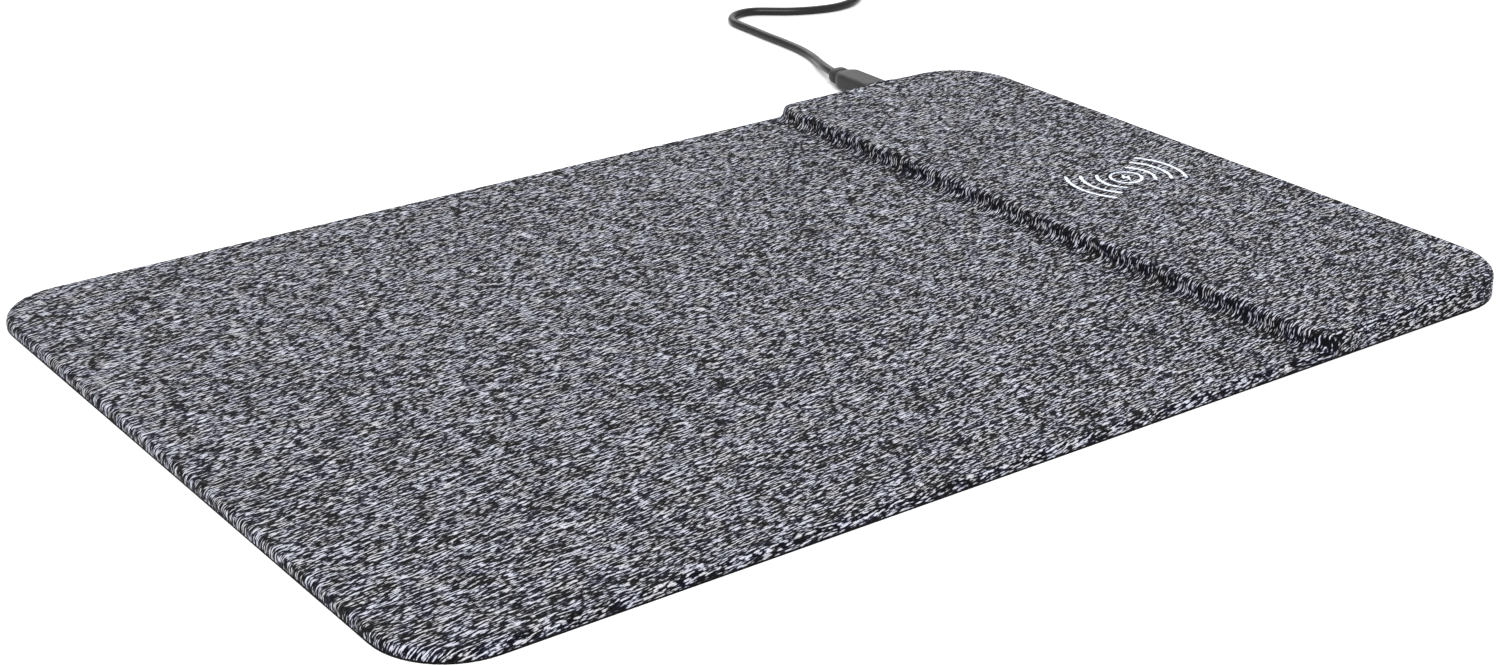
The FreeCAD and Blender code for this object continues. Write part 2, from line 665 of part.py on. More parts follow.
def coil_low():
    """Underside of the winding: it hangs just below the lid's ceiling."""
    return "(D.strip_height - D.skin - D.film - D.shell_roof - D.film - D.coil_height)"


def make_charging_coil():
    """A flat spiral of one strand: half circles about two centres half a pitch apart."""
    pitch, width = value("D.coil_pitch"), value("D.strand_width")
    inner, outer = value("D.coil_bore"), value("D.coil_radius")
    halves = 2 * int((outer - inner) / pitch)

    def half_circles(grown):
        arcs = []
        for k in range(halves):
            radius = inner + k * pitch / 2 + grown
            centre = Vector(0 if k % 2 == 0 else pitch / 2, 0, 0)
            side = 1 if k % 2 == 0 else -1
            arcs.append(Part.Arc(centre + Vector(side * radius, 0, 0),
                                 centre + Vector(0, side * radius, 0),
                                 centre - Vector(side * radius, 0, 0)).toShape())
        return arcs

    inside, outside = half_circles(0), half_circles(width)
    ends = [Part.LineSegment(a, b).toShape()
            for a, b in ((inside[0].Vertexes[0].Point, outside[0].Vertexes[0].Point),
                         (inside[-1].Vertexes[-1].Point, outside[-1].Vertexes[-1].Point))]
    wire = Part.Wire(Part.__sortEdges__(inside + outside + ends))
    strand = Part.Face(wire).extrude(Vector(0, 0, value("D.coil_height")))
    turned = Rotation(Vector(0, 0, 1), 90)
    feature("charging_coil", strand,
            Placement(Vector(value("D.charge_x"), 0, value(coil_low())), turned))


def make_coil_stack():
    """What holds the winding: tape, ferrite shield and the foam cushion below them."""
    tape = new_body("coil_tape", x="D.charge_x")
    sketch = new_sketch(tape, "XY", f"{coil_low()} - D.tape_height")
    circle(sketch, "0", "0", "D.coil_radius")
    circle(sketch, "0", "0", "D.coil_bore - D.tape_lip")
    pad(tape, sketch, "D.tape_height")
    slot_for_lead(tape, f"{coil_low()} - D.tape_height", "D.tape_height")

    ferrite = new_body("ferrite_shield", x="D.charge_x")
    low = f"({coil_low()} - D.tape_height - D.ferrite_height)"
    sketch = new_sketch(ferrite, "XY", low)
    centred_box(sketch, "D.ferrite_side", "D.ferrite_side", "D.sheet_corner")
    pad(ferrite, sketch, "D.ferrite_height")
    slot_for_lead(ferrite, low, "D.ferrite_height")

    cushion = new_body("coil_cushion", x="D.charge_x")
    floor = "(D.base_height + D.shell_floor)"
    sketch = new_sketch(cushion, "XY", floor)
    centred_box(sketch, "D.ferrite_side", "D.ferrite_side", "D.sheet_corner")
    pad(cushion, sketch, f"{low} - {floor}")


def slot_for_lead(body, low, depth):
    """A straight slot from the middle of a disc or sheet to its back edge."""
    sketch = new_sketch(body, "XY", low)
    rectangle(sketch, "-D.ferrite_slot / 2", "D.ferrite_slot / 2", "D.slot_start",
              "D.ferrite_side / 2 + D.past")
    pocket(body, sketch, depth, reverse=True)


# ---------------------------------------------------------------- round wires and cords

ARC_SHARE = 0.45        # how much of the shorter run an arc takes
VOLUME_SLACK = 0.01     # how far a tube's volume may be from section times length


def rounded_route(points):
    """Straight runs through the points joined by tangent arcs, and the arcs' radii."""
    edges, radii = [], []
    start = points[0]
    for before, corner, after in zip(points, points[1:], points[2:]):
        run_in, run_out = corner - before, after - corner
        half_turn = run_in.getAngle(run_out) / 2
        trim = ARC_SHARE * min(run_in.Length, run_out.Length)
        radii.append(trim / math.tan(half_turn))
        way_in = Vector(run_in).normalize()
        way_out = Vector(run_out).normalize()
        arc_start = corner - way_in * trim
        arc_end = corner + way_out * trim
        inward = Vector(way_out - way_in).normalize()
        middle = corner + inward * (radii[-1] / math.cos(half_turn) - radii[-1])
        edges.append(Part.LineSegment(start, arc_start).toShape())
        edges.append(Part.Arc(arc_start, middle, arc_end).toShape())
        start = arc_end
    edges.append(Part.LineSegment(start, points[-1]).toShape())
    return Part.Wire(edges), radii


def tube(points, radius):
    """A round solid along a rounded route, with its volume compared with section times length."""
    path, radii = rounded_route(points)
    direction = Vector(points[1] - points[0])
    section = Part.Wire(Part.makeCircle(radius, points[0], direction))
    solid = path.makePipeShell([section], True, False)
    expected = math.pi * radius ** 2 * path.Length
    if abs(solid.Volume - expected) > VOLUME_SLACK * expected:
        raise ValueError(f"tube volume {solid.Volume:.1f}, expected {expected:.1f}")
    return solid, radii, path.Length


# The thin wires: how far right of the coil's middle, how far back from it, and how far above the
# wire's own level, which is the winding's for the first two points and the board's for the others.
INNER_LEAD = [(0.0, 8.0, 0.0), (0.0, 34.0, 0.0), (0.6, 52.0, 0.1), (0.4, 74.0, 0.0)]
OUTER_LEAD = [(3.2, 23.2, 0.0), (4.6, 32.0, -0.3), (5.0, 50.0, 0.2), (4.4, 74.0, 0.0)]
BEAD_LEG = [(-6.0, 26.5, 0.0), (-6.0, 32.2, -0.2), (-6.0, 50.0, 0.5), (-6.4, 73.0, 0.3)]
BEAD = (-6.0, 26.2)


def wire_points(plan, winding_level, board_level, aside=0.0):
    """The points of a thin wire from its plan, its two levels and a shift to the right."""
    levels = (winding_level, winding_level, board_level, board_level)
    return [Vector(value("D.charge_x") + x + aside, y, level + above)
            for (x, y, above), level in zip(plan, levels)]


def make_coil_leads():
    """The winding's two leads: the inner one lies in the ferrite's slot, the outer beside it."""
    thin = value("D.wire_radius")
    board_level = value("D.board_low + D.board_thick + D.wire_radius + D.wire_room")
    inner = wire_points(INNER_LEAD, value(f"{coil_low()} - D.wire_radius - D.wire_room"), board_level)
    outer = wire_points(OUTER_LEAD, value(f"{coil_low()} + D.coil_height / 2"), board_level)
    feature("coil_leads", Part.makeCompound([tube(route, thin)[0] for route in (inner, outer)]))


def make_thermistor():
    """The bead that watches the coil's heat, behind the winding, on its two thin legs."""
    level = value(f"{coil_low()} + D.bite")
    board_top = value("D.board_low + D.board_thick")
    bead_at = Vector(value("D.charge_x") + BEAD[0], BEAD[1], level)
    bead = Part.makeSphere(value("D.bead_radius"), bead_at)
    aside, thin = value("D.leg_aside"), value("D.leg_radius")
    legs = [tube(wire_points(BEAD_LEG, level, board_top, side), thin)[0] for side in (-aside, aside)]
    feature("thermistor", bead.multiFuse(legs))


# ---------------------------------------------------------------- the circuit board

def make_circuit_board():
    """The driver board, notched at the back for the socket that is sunk into it."""
    body = new_body("circuit_board", x="D.charge_x")
    sketch = new_sketch(body, "XY", "D.board_low")
    half, notch = "(D.board_width / 2)", "(D.socket_width / 2 + D.notch_side)"
    mouth = "(D.pad_width / 2 - D.skin - D.gap - D.socket_deep - D.board_room)"
    polygon(sketch, [(f"-{half}", "D.board_front"), (half, "D.board_front"), (half, "D.board_back"),
                     (notch, "D.board_back"), (notch, mouth), (f"-{notch}", mouth),
                     (f"-{notch}", "D.board_back"), (f"-{half}", "D.board_back")])
    pad(body, sketch, "D.board_thick")
    posts = [(x.replace("D.charge_x", "0"), y) for x, y in BOARD_POSTS]
    drill(body, posts, "D.board_hole", "D.board_low", "D.board_thick")


# The small parts in rows: the node, one part's name and size, and where the parts' middles are,
# right of the board's middle and back from its front edge.
BOARD_ROWS = [
    ("bridge_transistors", "transistor", (3.3, 3.3, 0.9), [(-9.5, 11), (-4.5, 11), (4.5, 11), (9.5, 11)]),
    ("resonant_capacitors", "capacitor", (3.2, 2.5, 1.6), [(9.5, 17), (9.5, 21), (9.5, 25)]),
    ("small_passives", "passive", (1.6, 0.8, 0.7), [
        (-14, 20), (-14, 23), (-14, 26), (-11, 20), (-11, 23), (-11, 26), (-14, 33), (-11, 33),
        (-3, 29), (0, 29), (3, 22), (3, 25)]),
]


def make_board_parts():
    """What is soldered on the board's top."""
    top = "D.board_low + D.board_thick"
    chip = new_body("controller_chip", x="D.charge_x + D.chip_x", y="D.board_front + D.chip_y", z=top)
    sketch = new_sketch(chip, "XY")
    half = "D.chip_side / 2"
    rectangle(sketch, f"-{half}", half, f"-{half}", half)
    pad(chip, sketch, "D.chip_tall")
    dimple = new_sketch(chip, "XY", "D.chip_tall - D.dimple_deep")
    circle(dimple, f"-({half} - D.dimple_in)", f"{half} - D.dimple_in", "D.dimple_radius")
    pocket(chip, dimple, "D.dimple_deep + D.bite", reverse=True)

    inductor = new_body("power_inductor", x="D.charge_x + D.inductor_x",
                        y="D.board_front + D.inductor_y", z=top)
    sketch = new_sketch(inductor, "XY")
    centred_box(sketch, "D.inductor_side", "D.inductor_side", "D.inductor_corner")
    pad(inductor, sketch, "D.inductor_tall")
    fillet(inductor, level_with(value("D.inductor_tall")), "D.inductor_edge")

    for node, part_name, (width, deep, tall), places in BOARD_ROWS:
        group(node, [box(f"{part_name}_{i}", (str(width), str(deep), str(tall)),
                         (f"D.charge_x + {x - width / 2}", f"D.board_front + {y - deep / 2}", top))
                     for i, (x, y) in enumerate(places)])


# ---------------------------------------------------------------- the micro-USB socket

def port_outline(sketch, width, tall, grown="0"):
    """The socket's and the plug's section: a rectangle whose two lower corners are cut off."""
    w, t = f"(({width}) / 2 + ({grown}))", f"(({tall}) / 2 + ({grown}))"
    slope_x, slope_y = f"{w} - D.slope_wide", f"-{t} + D.slope_tall"
    polygon(sketch, [(f"-({slope_x})", f"-{t}"), (slope_x, f"-{t}"), (w, slope_y),
                     (w, t), (f"-{w}", t), (f"-{w}", slope_y)])


def socket_mouth():
    return "D.pad_width / 2 - D.skin - D.gap"


def contacts(label, length, thick, start, low):
    """Five contact strips side by side, as the socket and the plug both have them."""
    group(label, [box(f"{label}_{i}", ("D.contact_width", length, thick),
                      (f"D.charge_x + {i - 2} * D.contact_pitch - D.contact_width / 2", start, low))
                  for i in range(5)])


def make_socket():
    """The socket sunk in the board: folded shell, plastic insert with its tongue, contacts."""
    shell = new_body("usb_socket_shell", x="D.charge_x", y=socket_mouth(), z="D.port_z")
    outer = new_sketch(shell, "XZ")
    port_outline(outer, "D.socket_width", "D.socket_tall")
    pad(shell, outer, "D.socket_deep")
    inner = new_sketch(shell, "XZ")
    port_outline(inner, "D.socket_width", "D.socket_tall", "-D.socket_sheet")
    pocket(shell, inner, "D.socket_deep", reverse=True)
    tabs = new_sketch(shell, "XY", "D.board_low + D.board_thick - D.port_z")
    inside, outside = "(D.socket_width / 2 - D.bite)", "(D.socket_width / 2 + D.tab_reach)"
    rectangle(tabs, f"-{outside}", f"-{inside}", "-D.tab_back", "-D.tab_front")
    rectangle(tabs, inside, outside, "-D.tab_back", "-D.tab_front")
    pad(shell, tabs, "D.tab_thick")

    insert = new_body("usb_socket_tongue", x="D.charge_x", y=socket_mouth(), z="D.port_z")
    plug = new_sketch(insert, "XZ", "D.socket_deep - D.insert_thick - D.film")
    port_outline(plug, "D.socket_width", "D.socket_tall", "-D.socket_sheet - D.press_room")
    pad(insert, plug, "D.insert_thick")
    tongue = new_sketch(insert, "XZ", "D.tongue_tip")
    rectangle(tongue, "-D.tongue_half", "D.tongue_half", "D.tongue_low", "D.tongue_high")
    pad(insert, tongue, "D.socket_deep - D.tongue_tip - D.tongue_root")

    start = f"{socket_mouth()} - D.socket_deep + D.insert_thick + D.film + D.hair"
    contacts("usb_socket_contacts", "D.socket_deep - D.contact_short", "D.contact_thick", start,
             "D.port_z + D.tongue_low - D.contact_thick")


# ---------------------------------------------------------------- the plug in the socket

def make_micro_plug():
    """The lead's plug on the pad end, pushed home in the socket."""
    mouth = f"({socket_mouth()})"
    length = f"(D.grip_front + D.nose_root - {mouth} + D.nose_reach)"
    shell = new_body("micro_plug_shell", x="D.charge_x", y=f"{mouth} - D.nose_reach + {length}",
                     z="D.port_z")
    outer = new_sketch(shell, "XZ")
    port_outline(outer, "D.nose_width", "D.nose_tall")
    pad(shell, outer, length)
    inner = new_sketch(shell, "XZ")
    port_outline(inner, "D.nose_width", "D.nose_tall", "-D.nose_sheet")
    pocket(shell, inner, length, reverse=True)

    insert = new_body("micro_plug_insert", x="D.charge_x", y="D.grip_front + D.nose_root",
                      z="D.port_z")
    back = new_sketch(insert, "XZ")
    port_outline(back, "D.nose_width", "D.nose_tall", "-D.nose_sheet - D.hair")
    pad(insert, back, "D.plug_block")
    bed = new_sketch(insert, "XZ")
    rectangle(bed, "-D.tongue_half", "D.tongue_half",
              "-D.nose_tall / 2 + D.nose_sheet + D.hair", "-D.bed_top")
    pad(insert, bed, f"{length} - D.bed_short")

    contacts("micro_plug_contacts", f"{length} - D.plug_contact_tip - D.plug_block - D.bite",
             "D.plug_contact_thick", f"{mouth} - D.nose_reach + D.plug_contact_tip",
             "D.port_z - D.bed_top")


def make_micro_grip():
    """The moulded grip that a hand holds, narrowing into the collar that the lead comes out of."""
    grip = new_body("micro_plug_grip", x="D.charge_x", z="D.port_z")
    front = new_sketch(grip, "XZ", "-D.grip_back")
    centred_box(front, "D.grip_width", "D.grip_tall", "D.grip_corner")
    pad(grip, front, "D.grip_back - D.grip_front")
    fillet(grip, lambda edge: edge.BoundBox.YMax < value("D.grip_front") + TOUCHING, "D.grip_edge")
    wide = new_sketch(grip, "XZ", "-D.grip_back")
    centred_box(wide, "D.grip_width", "D.grip_tall", "D.grip_corner")
    narrow = new_sketch(grip, "XZ", "-D.collar_front")
    centred_box(narrow, "D.collar_width", "D.collar_tall", "D.grip_corner")
    loft(grip, [wide, narrow])
    seat = new_sketch(grip, "XZ", "-D.grip_front")
    port_outline(seat, "D.nose_width", "D.nose_tall", "D.hair")
    pocket(grip, seat, "D.nose_root + D.hair")

    collar = new_body("micro_plug_collar", x="D.charge_x", z="D.port_z")
    start = new_sketch(collar, "XZ", "-D.collar_front")
    centred_box(start, "D.collar_width", "D.collar_tall", "D.grip_corner")
    widest = new_sketch(collar, "XZ", "-D.collar_back + D.collar_lip")
    centred_box(widest, "D.collar_width + D.collar_swell", "D.collar_tall + D.collar_swell",
                "D.grip_corner + D.collar_swell / 2")
    end = new_sketch(collar, "XZ", "-D.collar_back")
    centred_box(end, "D.collar_width - D.collar_taper", "D.collar_tall - D.collar_taper",
                "D.collar_end_corner")
    loft(collar, [start, widest, end])


# ---------------------------------------------------------------- the lead

# The lead's way over the desk: out of the collar, along the back, round, and out to its coil.
LEAD_ROUTE = [
    (135.5, 140.9, 3.55), (136.4, 147.2, 3.9), (139.9, 155.0, 2.9), (144.4, 163.4, 1.5),
    (146.8, 173.2, 1.5), (147.4, 184.5, 1.5), (147.2, 195.5, 1.5), (147.5, 204.5, 1.5),
    (147.5, 211.2, 1.5), (147.7, 216.7, 1.5), (149.7, 221.1, 1.5), (153.3, 224.2, 1.5),
    (158.0, 225.4, 1.5), (162.7, 224.4, 1.5), (167.2, 221.1, 1.5), (173.6, 216.1, 1.5),
    (181.6, 212.6, 1.5), (190.2, 210.6, 1.5), (198.4, 211.6, 1.6), (205.2, 215.6, 1.7),
    (211.0, 222.2, 1.8), (216.0, 229.6, 2.0), (221.0, 236.4, 2.0),
]


TAIL_HEADING = -35.5     # degrees, the way the USB-A plug points
TAIL_OFFSET = 21.5       # from the coil's middle to the line that the plug lies on
# the lead from the coil to the plug: how far along that line, and the height over the desk
TAIL_ROUTE = [(9.0, 6.6), (15.0, 5.9), (21.0, 4.5), (27.0, 4.0)]
TURNS_ACROSS = 4         # how many lead diameters wide the coil's bundle is
TIE_ANGLE = -50.0        # degrees, where the tie is on the coil
TWIST_WAY = Vector(1, 0, 0.05)      # the way the tie's twisted ends point


def tail_place(along, height):
    """A point of the far end, measured along the line on which the USB-A plug lies."""
    heading = Rotation(Vector(0, 0, 1), TAIL_HEADING)
    start = Vector(value("D.coil_x"), value("D.coil_y"), 0)
    start += heading.multVec(Vector(0, TAIL_OFFSET, 0))
    return start + heading.multVec(Vector(along, 0, 0)) + Vector(0, 0, height)


def make_lead():
    """The lead's tube, its put-away coil as one solid, its tail and the tie."""
    radius = value("D.cord_radius")
    solid, radii, length = tube([Vector(*point) for point in LEAD_ROUTE], radius)
    feature("charge_lead", solid)
    print("charge_lead arc radii:", [round(r, 1) for r in radii], "length", round(length, 1))

    low = value("D.coil_lift")
    inside = value("D.ring_inner - D.cord_radius")
    outside = inside + 2 * TURNS_ACROSS * radius
    top = low + 2 * radius + 2 * value("D.row_rise")
    section = bundle_outline(inside, outside, low, top)
    face = Part.Face(Part.makePolygon(section + section[:1]))
    ring = face.revolve(Vector(0, 0, 0), Vector(0, 0, 1), 360)
    feature("lead_coil", ring, Placement(Vector(value("D.coil_x"), value("D.coil_y"), 0), Rotation()))

    solid, radii, length = tube([tail_place(*place) for place in TAIL_ROUTE], radius)
    feature("lead_tail", solid)
    print("lead_tail arc radii:", [round(r, 1) for r in radii], "length", round(length, 1))
    make_lead_tie(inside, outside, low, top)


def bundle_outline(inside, outside, low, top, side=0.0, above=0.0, below=0.0):
    """The coil's section, upright at its sides and leaning in above, and grown by given amounts."""
    shoulder = low + value("D.bundle_side") + above / 2
    slope = value("D.bundle_slope") - above / 2
    return [Vector(inside - side, 0, low - below), Vector(outside + side, 0, low - below),
            Vector(outside + side, 0, shoulder), Vector(outside - slope, 0, top + above),
            Vector(inside + slope, 0, top + above), Vector(inside - side, 0, shoulder)]


def make_lead_tie(inside, outside, low, top):
    """A flat tie once round the coil's bundle, its two ends twisted together outside it."""
    sheet_thick, width = value("D.tie_sheet"), value("D.tie_width")
    room, side = value("D.tie_room"), value("D.tie_room + D.tie_side")

    def block(thicker):
        places = bundle_outline(inside, outside, low, top, side + thicker, side + thicker,
                                room + thicker)
        solid = Part.Face(Part.makePolygon(places + places[:1])).extrude(Vector(0, width, 0))
        solid.translate(Vector(0, -width / 2, 0))
        return solid

    band = block(sheet_thick).cut(block(0.0))
    start = Vector(outside + value("D.twist_start"), 0, value("D.twist_height"))
    twist = Part.makeCylinder(value("D.twist_radius"), value("D.twist_long"), start, TWIST_WAY)
    turned = Rotation(Vector(0, 0, 1), TIE_ANGLE)
    feature("lead_tie", band.fuse(twist),
            Placement(Vector(value("D.coil_x"), value("D.coil_y"), 0), turned))


# ---------------------------------------------------------------- the USB-A plug

# the four contacts: how far right of the plug's middle, and how long
USB_A_CONTACTS = [(-3.5, 8.0), (-1.0, 7.0), (1.0, 7.0), (3.5, 8.0)]


def make_usb_a_plug():
    """The far end's plug, lying on the desk beside the coil; its own +Y points along it."""
    heading = TAIL_HEADING - 90
    along, _ = TAIL_ROUTE[-1]
    start = tail_place(along, value("D.plug_tall / 2"))
    where = Placement(start, Rotation(Vector(0, 0, 1), heading))

    def placed(body):
        for axis in "xyz":
            body.setExpression(f"Placement.Base.{axis}", None)
        body.Placement = where
        return body

    grip_end = "(D.relief_long + D.plug_long)"
    relief = placed(new_body("usb_a_relief"))
    thin = new_sketch(relief, "XZ")
    centred_box(thin, "D.relief_thin_width", "D.relief_thin_tall", "D.relief_thin_corner")
    thick = new_sketch(relief, "XZ", "-D.relief_long")
    centred_box(thick, "D.relief_thick_width", "D.relief_thick_tall", "D.relief_thick_corner")
    loft(relief, [thin, thick])

    grip = placed(new_body("usb_a_grip"))
    block = new_sketch(grip, "XZ", f"-{grip_end}")
    centred_box(block, "D.plug_width", "D.plug_tall", "D.plug_corner")
    pad(grip, block, "D.plug_long")
    fillet(grip, lambda edge: abs(edge.BoundBox.YMin - edge.BoundBox.YMax) < TOUCHING, "D.plug_edge")
    seat = new_sketch(grip, "XZ", f"-{grip_end}")
    centred_box(seat, "D.shell_width + D.press_room", "D.shell_tall + D.press_room", "D.shell_corner")
    pocket(grip, seat, "D.shell_root", reverse=True)

    shell = placed(new_body("usb_a_shell"))
    shell_end = f"({grip_end} + D.shell_long)"
    outer = new_sketch(shell, "XZ", f"-{shell_end}")
    centred_box(outer, "D.shell_width", "D.shell_tall", "D.shell_corner")
    pad(shell, outer, "D.shell_long + D.shell_root")
    inner = new_sketch(shell, "XZ", f"-{shell_end}")
    centred_box(inner, "D.shell_width - 2 * D.shell_sheet", "D.shell_tall - 2 * D.shell_sheet",
                "D.shell_corner - D.shell_sheet")
    pocket(shell, inner, "D.shell_long + D.shell_root", reverse=True)
    windows = new_sketch(shell, "XY", "-D.shell_tall")
    front = f"({grip_end} + D.window_front)"
    for side in ("-(D.window_in + D.window_side)", "D.window_in"):
        rectangle(windows, side, f"{side} + D.window_side", front, f"{front} + D.window_side")
    pocket(shell, windows, "2 * D.shell_tall", reverse=True)

    tongue = placed(new_body("usb_a_tongue"))
    bed = new_sketch(tongue, "XZ", f"-({shell_end} - D.wide_tongue_tip)")
    half = "(D.shell_width / 2 - D.shell_sheet - D.wide_tongue_side)"
    rectangle(bed, f"-{half}", half, "-D.shell_tall / 2 + D.shell_sheet + D.wide_tongue_under",
              "-D.wide_tongue_top")
    pad(tongue, bed, "D.shell_long + D.wide_tongue_root")

    width, thick = value("D.wide_contact_width"), value("D.wide_contact_thick")
    corner_y, corner_z = value(grip_end), value("-D.wide_tongue_top")
    strips = [Part.makeBox(width, long, thick, Vector(x - width / 2, corner_y, corner_z))
              for x, long in USB_A_CONTACTS]
    feature("usb_a_contacts", Part.makeCompound(strips), where)


# ---------------------------------------------------------------- the printed mark

MARK_ARCS = [(8.8, 45.0), (13.7, 39.0), (18.3, 36.0)]      # middle radius, half the span in degrees
BOLT_CORNERS = [(0.9, 3.0), (-1.7, -0.4), (-0.2, -0.4), (-0.9, -3.0), (1.7, 0.4), (0.2, 0.4)]


def make_charging_mark():
    """The print over the coil, level with the fabric: a ring with a bolt, three arcs a side."""
    foot = "D.strip_height - D.mark_height"
    at = ("D.mark_x", "D.mark_y", foot)
    pieces = [cut("mark_circle", cylinder("mark_circle_out", "D.mark_ring", "D.mark_height", at),
                  cylinder("mark_circle_in", "D.mark_ring - D.mark_line * D.mark_thin",
                           "D.mark_height", at))]
    for i, (radius, half_span) in enumerate(MARK_ARCS):
        for side, name in ((0.0, "right"), (180.0, "left")):
            sector = 2 * half_span
            outer = cylinder(f"mark_{name}_{i}_out", f"{radius} + D.mark_line / 2", "D.mark_height", at,
                             sector, side - half_span)
            inner = cylinder(f"mark_{name}_{i}_in", f"{radius} - D.mark_line / 2", "D.mark_height", at,
                             sector, side - half_span)
            pieces.append(cut(f"mark_{name}_{i}", outer, inner))
    middle = Vector(value("D.mark_x"), value("D.mark_y"), value(foot))
    corners = [middle + Vector(x, y, 0) for x, y in BOLT_CORNERS]
    outline = doc.addObject("Part::Feature", "mark_bolt_outline")
    outline.Shape = Part.Face(Part.makePolygon(corners + corners[:1]))
    bolt = doc.addObject("Part::Extrusion", "mark_bolt")
    bolt.Base = outline
    bolt.Dir = Vector(0, 0, 1)
    bind(bolt, "LengthFwd", "D.mark_height")
    bolt.DirMode = "Custom"
    group("charging_mark", pieces + [bolt])


make_rubber_base()
make_foam_core()
make_charging_mark()
make_fabric_cover()
make_charger_base()
make_charger_lid()
make_screws()
make_charging_coil()
make_coil_stack()
make_coil_leads()
make_thermistor()
make_circuit_board()
make_board_parts()
make_socket()
make_micro_plug()
make_micro_grip()
make_lead()
make_usb_a_plug()
doc.recompute()

failed = [thing.Name for thing in doc.Objects
          if any(word in thing.State for word in ("Invalid", "Error"))]
if failed:
    raise RuntimeError(f"features that failed: {failed}")
for node in NODES:
    if node.Shape.isNull() or not node.Shape.isValid() or not node.Shape.Solids:
        raise RuntimeError(f"{node.Label} has no valid solid")

os.makedirs("parts", exist_ok=True)
for node in NODES:
    node.Shape.exportStep(os.path.join("parts", node.Label + ".step"))
    bounds = node.Shape.BoundBox
    print(f"{node.Label:22s} solids {len(node.Shape.Solids):2d}  volume {node.Shape.Volume:10.1f}"
          f"  x {bounds.XMin:.1f} {bounds.XMax:.1f}  y {bounds.YMin:.1f} {bounds.YMax:.1f}"
          f"  z {bounds.ZMin:.2f} {bounds.ZMax:.2f}")
print("nodes:", len(NODES))
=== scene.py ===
"""Looks of a fabric mouse pad with a wireless charger in its raised right-hand strip.

The scene is in metres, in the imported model's frame: X to the right, Y to the back, Z up, and the
desk at z = 0. The numbers of shapes are in millimetres, and MM turns them into metres.
"""

import json
import math

import bmesh
import bpy
import numpy as np
from mathutils import Matrix, Vector, noise


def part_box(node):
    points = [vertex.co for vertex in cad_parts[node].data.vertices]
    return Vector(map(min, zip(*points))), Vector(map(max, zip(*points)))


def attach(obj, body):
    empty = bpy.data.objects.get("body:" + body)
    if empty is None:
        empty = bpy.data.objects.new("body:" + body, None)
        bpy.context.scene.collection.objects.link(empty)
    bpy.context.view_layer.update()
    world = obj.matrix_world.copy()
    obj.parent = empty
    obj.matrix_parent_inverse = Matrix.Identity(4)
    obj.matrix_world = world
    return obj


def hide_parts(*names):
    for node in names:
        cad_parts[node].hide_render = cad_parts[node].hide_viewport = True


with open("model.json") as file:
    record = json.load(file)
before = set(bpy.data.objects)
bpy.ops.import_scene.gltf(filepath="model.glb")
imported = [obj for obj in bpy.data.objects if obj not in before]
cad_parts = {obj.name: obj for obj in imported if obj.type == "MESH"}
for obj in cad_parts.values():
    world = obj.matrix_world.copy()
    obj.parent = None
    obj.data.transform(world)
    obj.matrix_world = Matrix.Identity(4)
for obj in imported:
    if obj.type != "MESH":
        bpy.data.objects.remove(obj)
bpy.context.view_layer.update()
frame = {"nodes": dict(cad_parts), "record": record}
NODES = frame["nodes"]
RECORD = frame["record"]
MM = 0.001
SCENE = bpy.context.scene


# ---------- camera

CAMERA_PLACE = (-376.896 * MM, -500.985 * MM, 264.128 * MM)
CAMERA_YAW, CAMERA_PITCH, CAMERA_ROLL = -0.6385, 0.4111, 0.0050
CAMERA_LENS, SENSOR_WIDTH, NEAREST = 59.74, 36.0, 0.01


def make_camera():
    """The photograph's viewpoint: turned from +Y, tipped below level, then rolled."""
    yaw, pitch, roll = CAMERA_YAW, CAMERA_PITCH, CAMERA_ROLL
    ahead = Vector((-math.sin(yaw) * math.cos(pitch), math.cos(yaw) * math.cos(pitch),
                    -math.sin(pitch)))
    level = Vector((math.cos(yaw), math.sin(yaw), 0))
    above = level.cross(ahead)
    right = level * math.cos(roll) + above * math.sin(roll)
    up = above * math.cos(roll) - level * math.sin(roll)
    camera = bpy.data.objects.new("camera", bpy.data.cameras.new("camera"))
    turn = Matrix((right, up, -ahead)).transposed().to_4x4()
    camera.matrix_world = Matrix.Translation(CAMERA_PLACE) @ turn
    camera.data.lens = CAMERA_LENS
    camera.data.sensor_width = SENSOR_WIDTH
    camera.data.clip_start = NEAREST
    SCENE.collection.objects.link(camera)
    SCENE.camera = camera


make_camera()


# ---------- material nodes

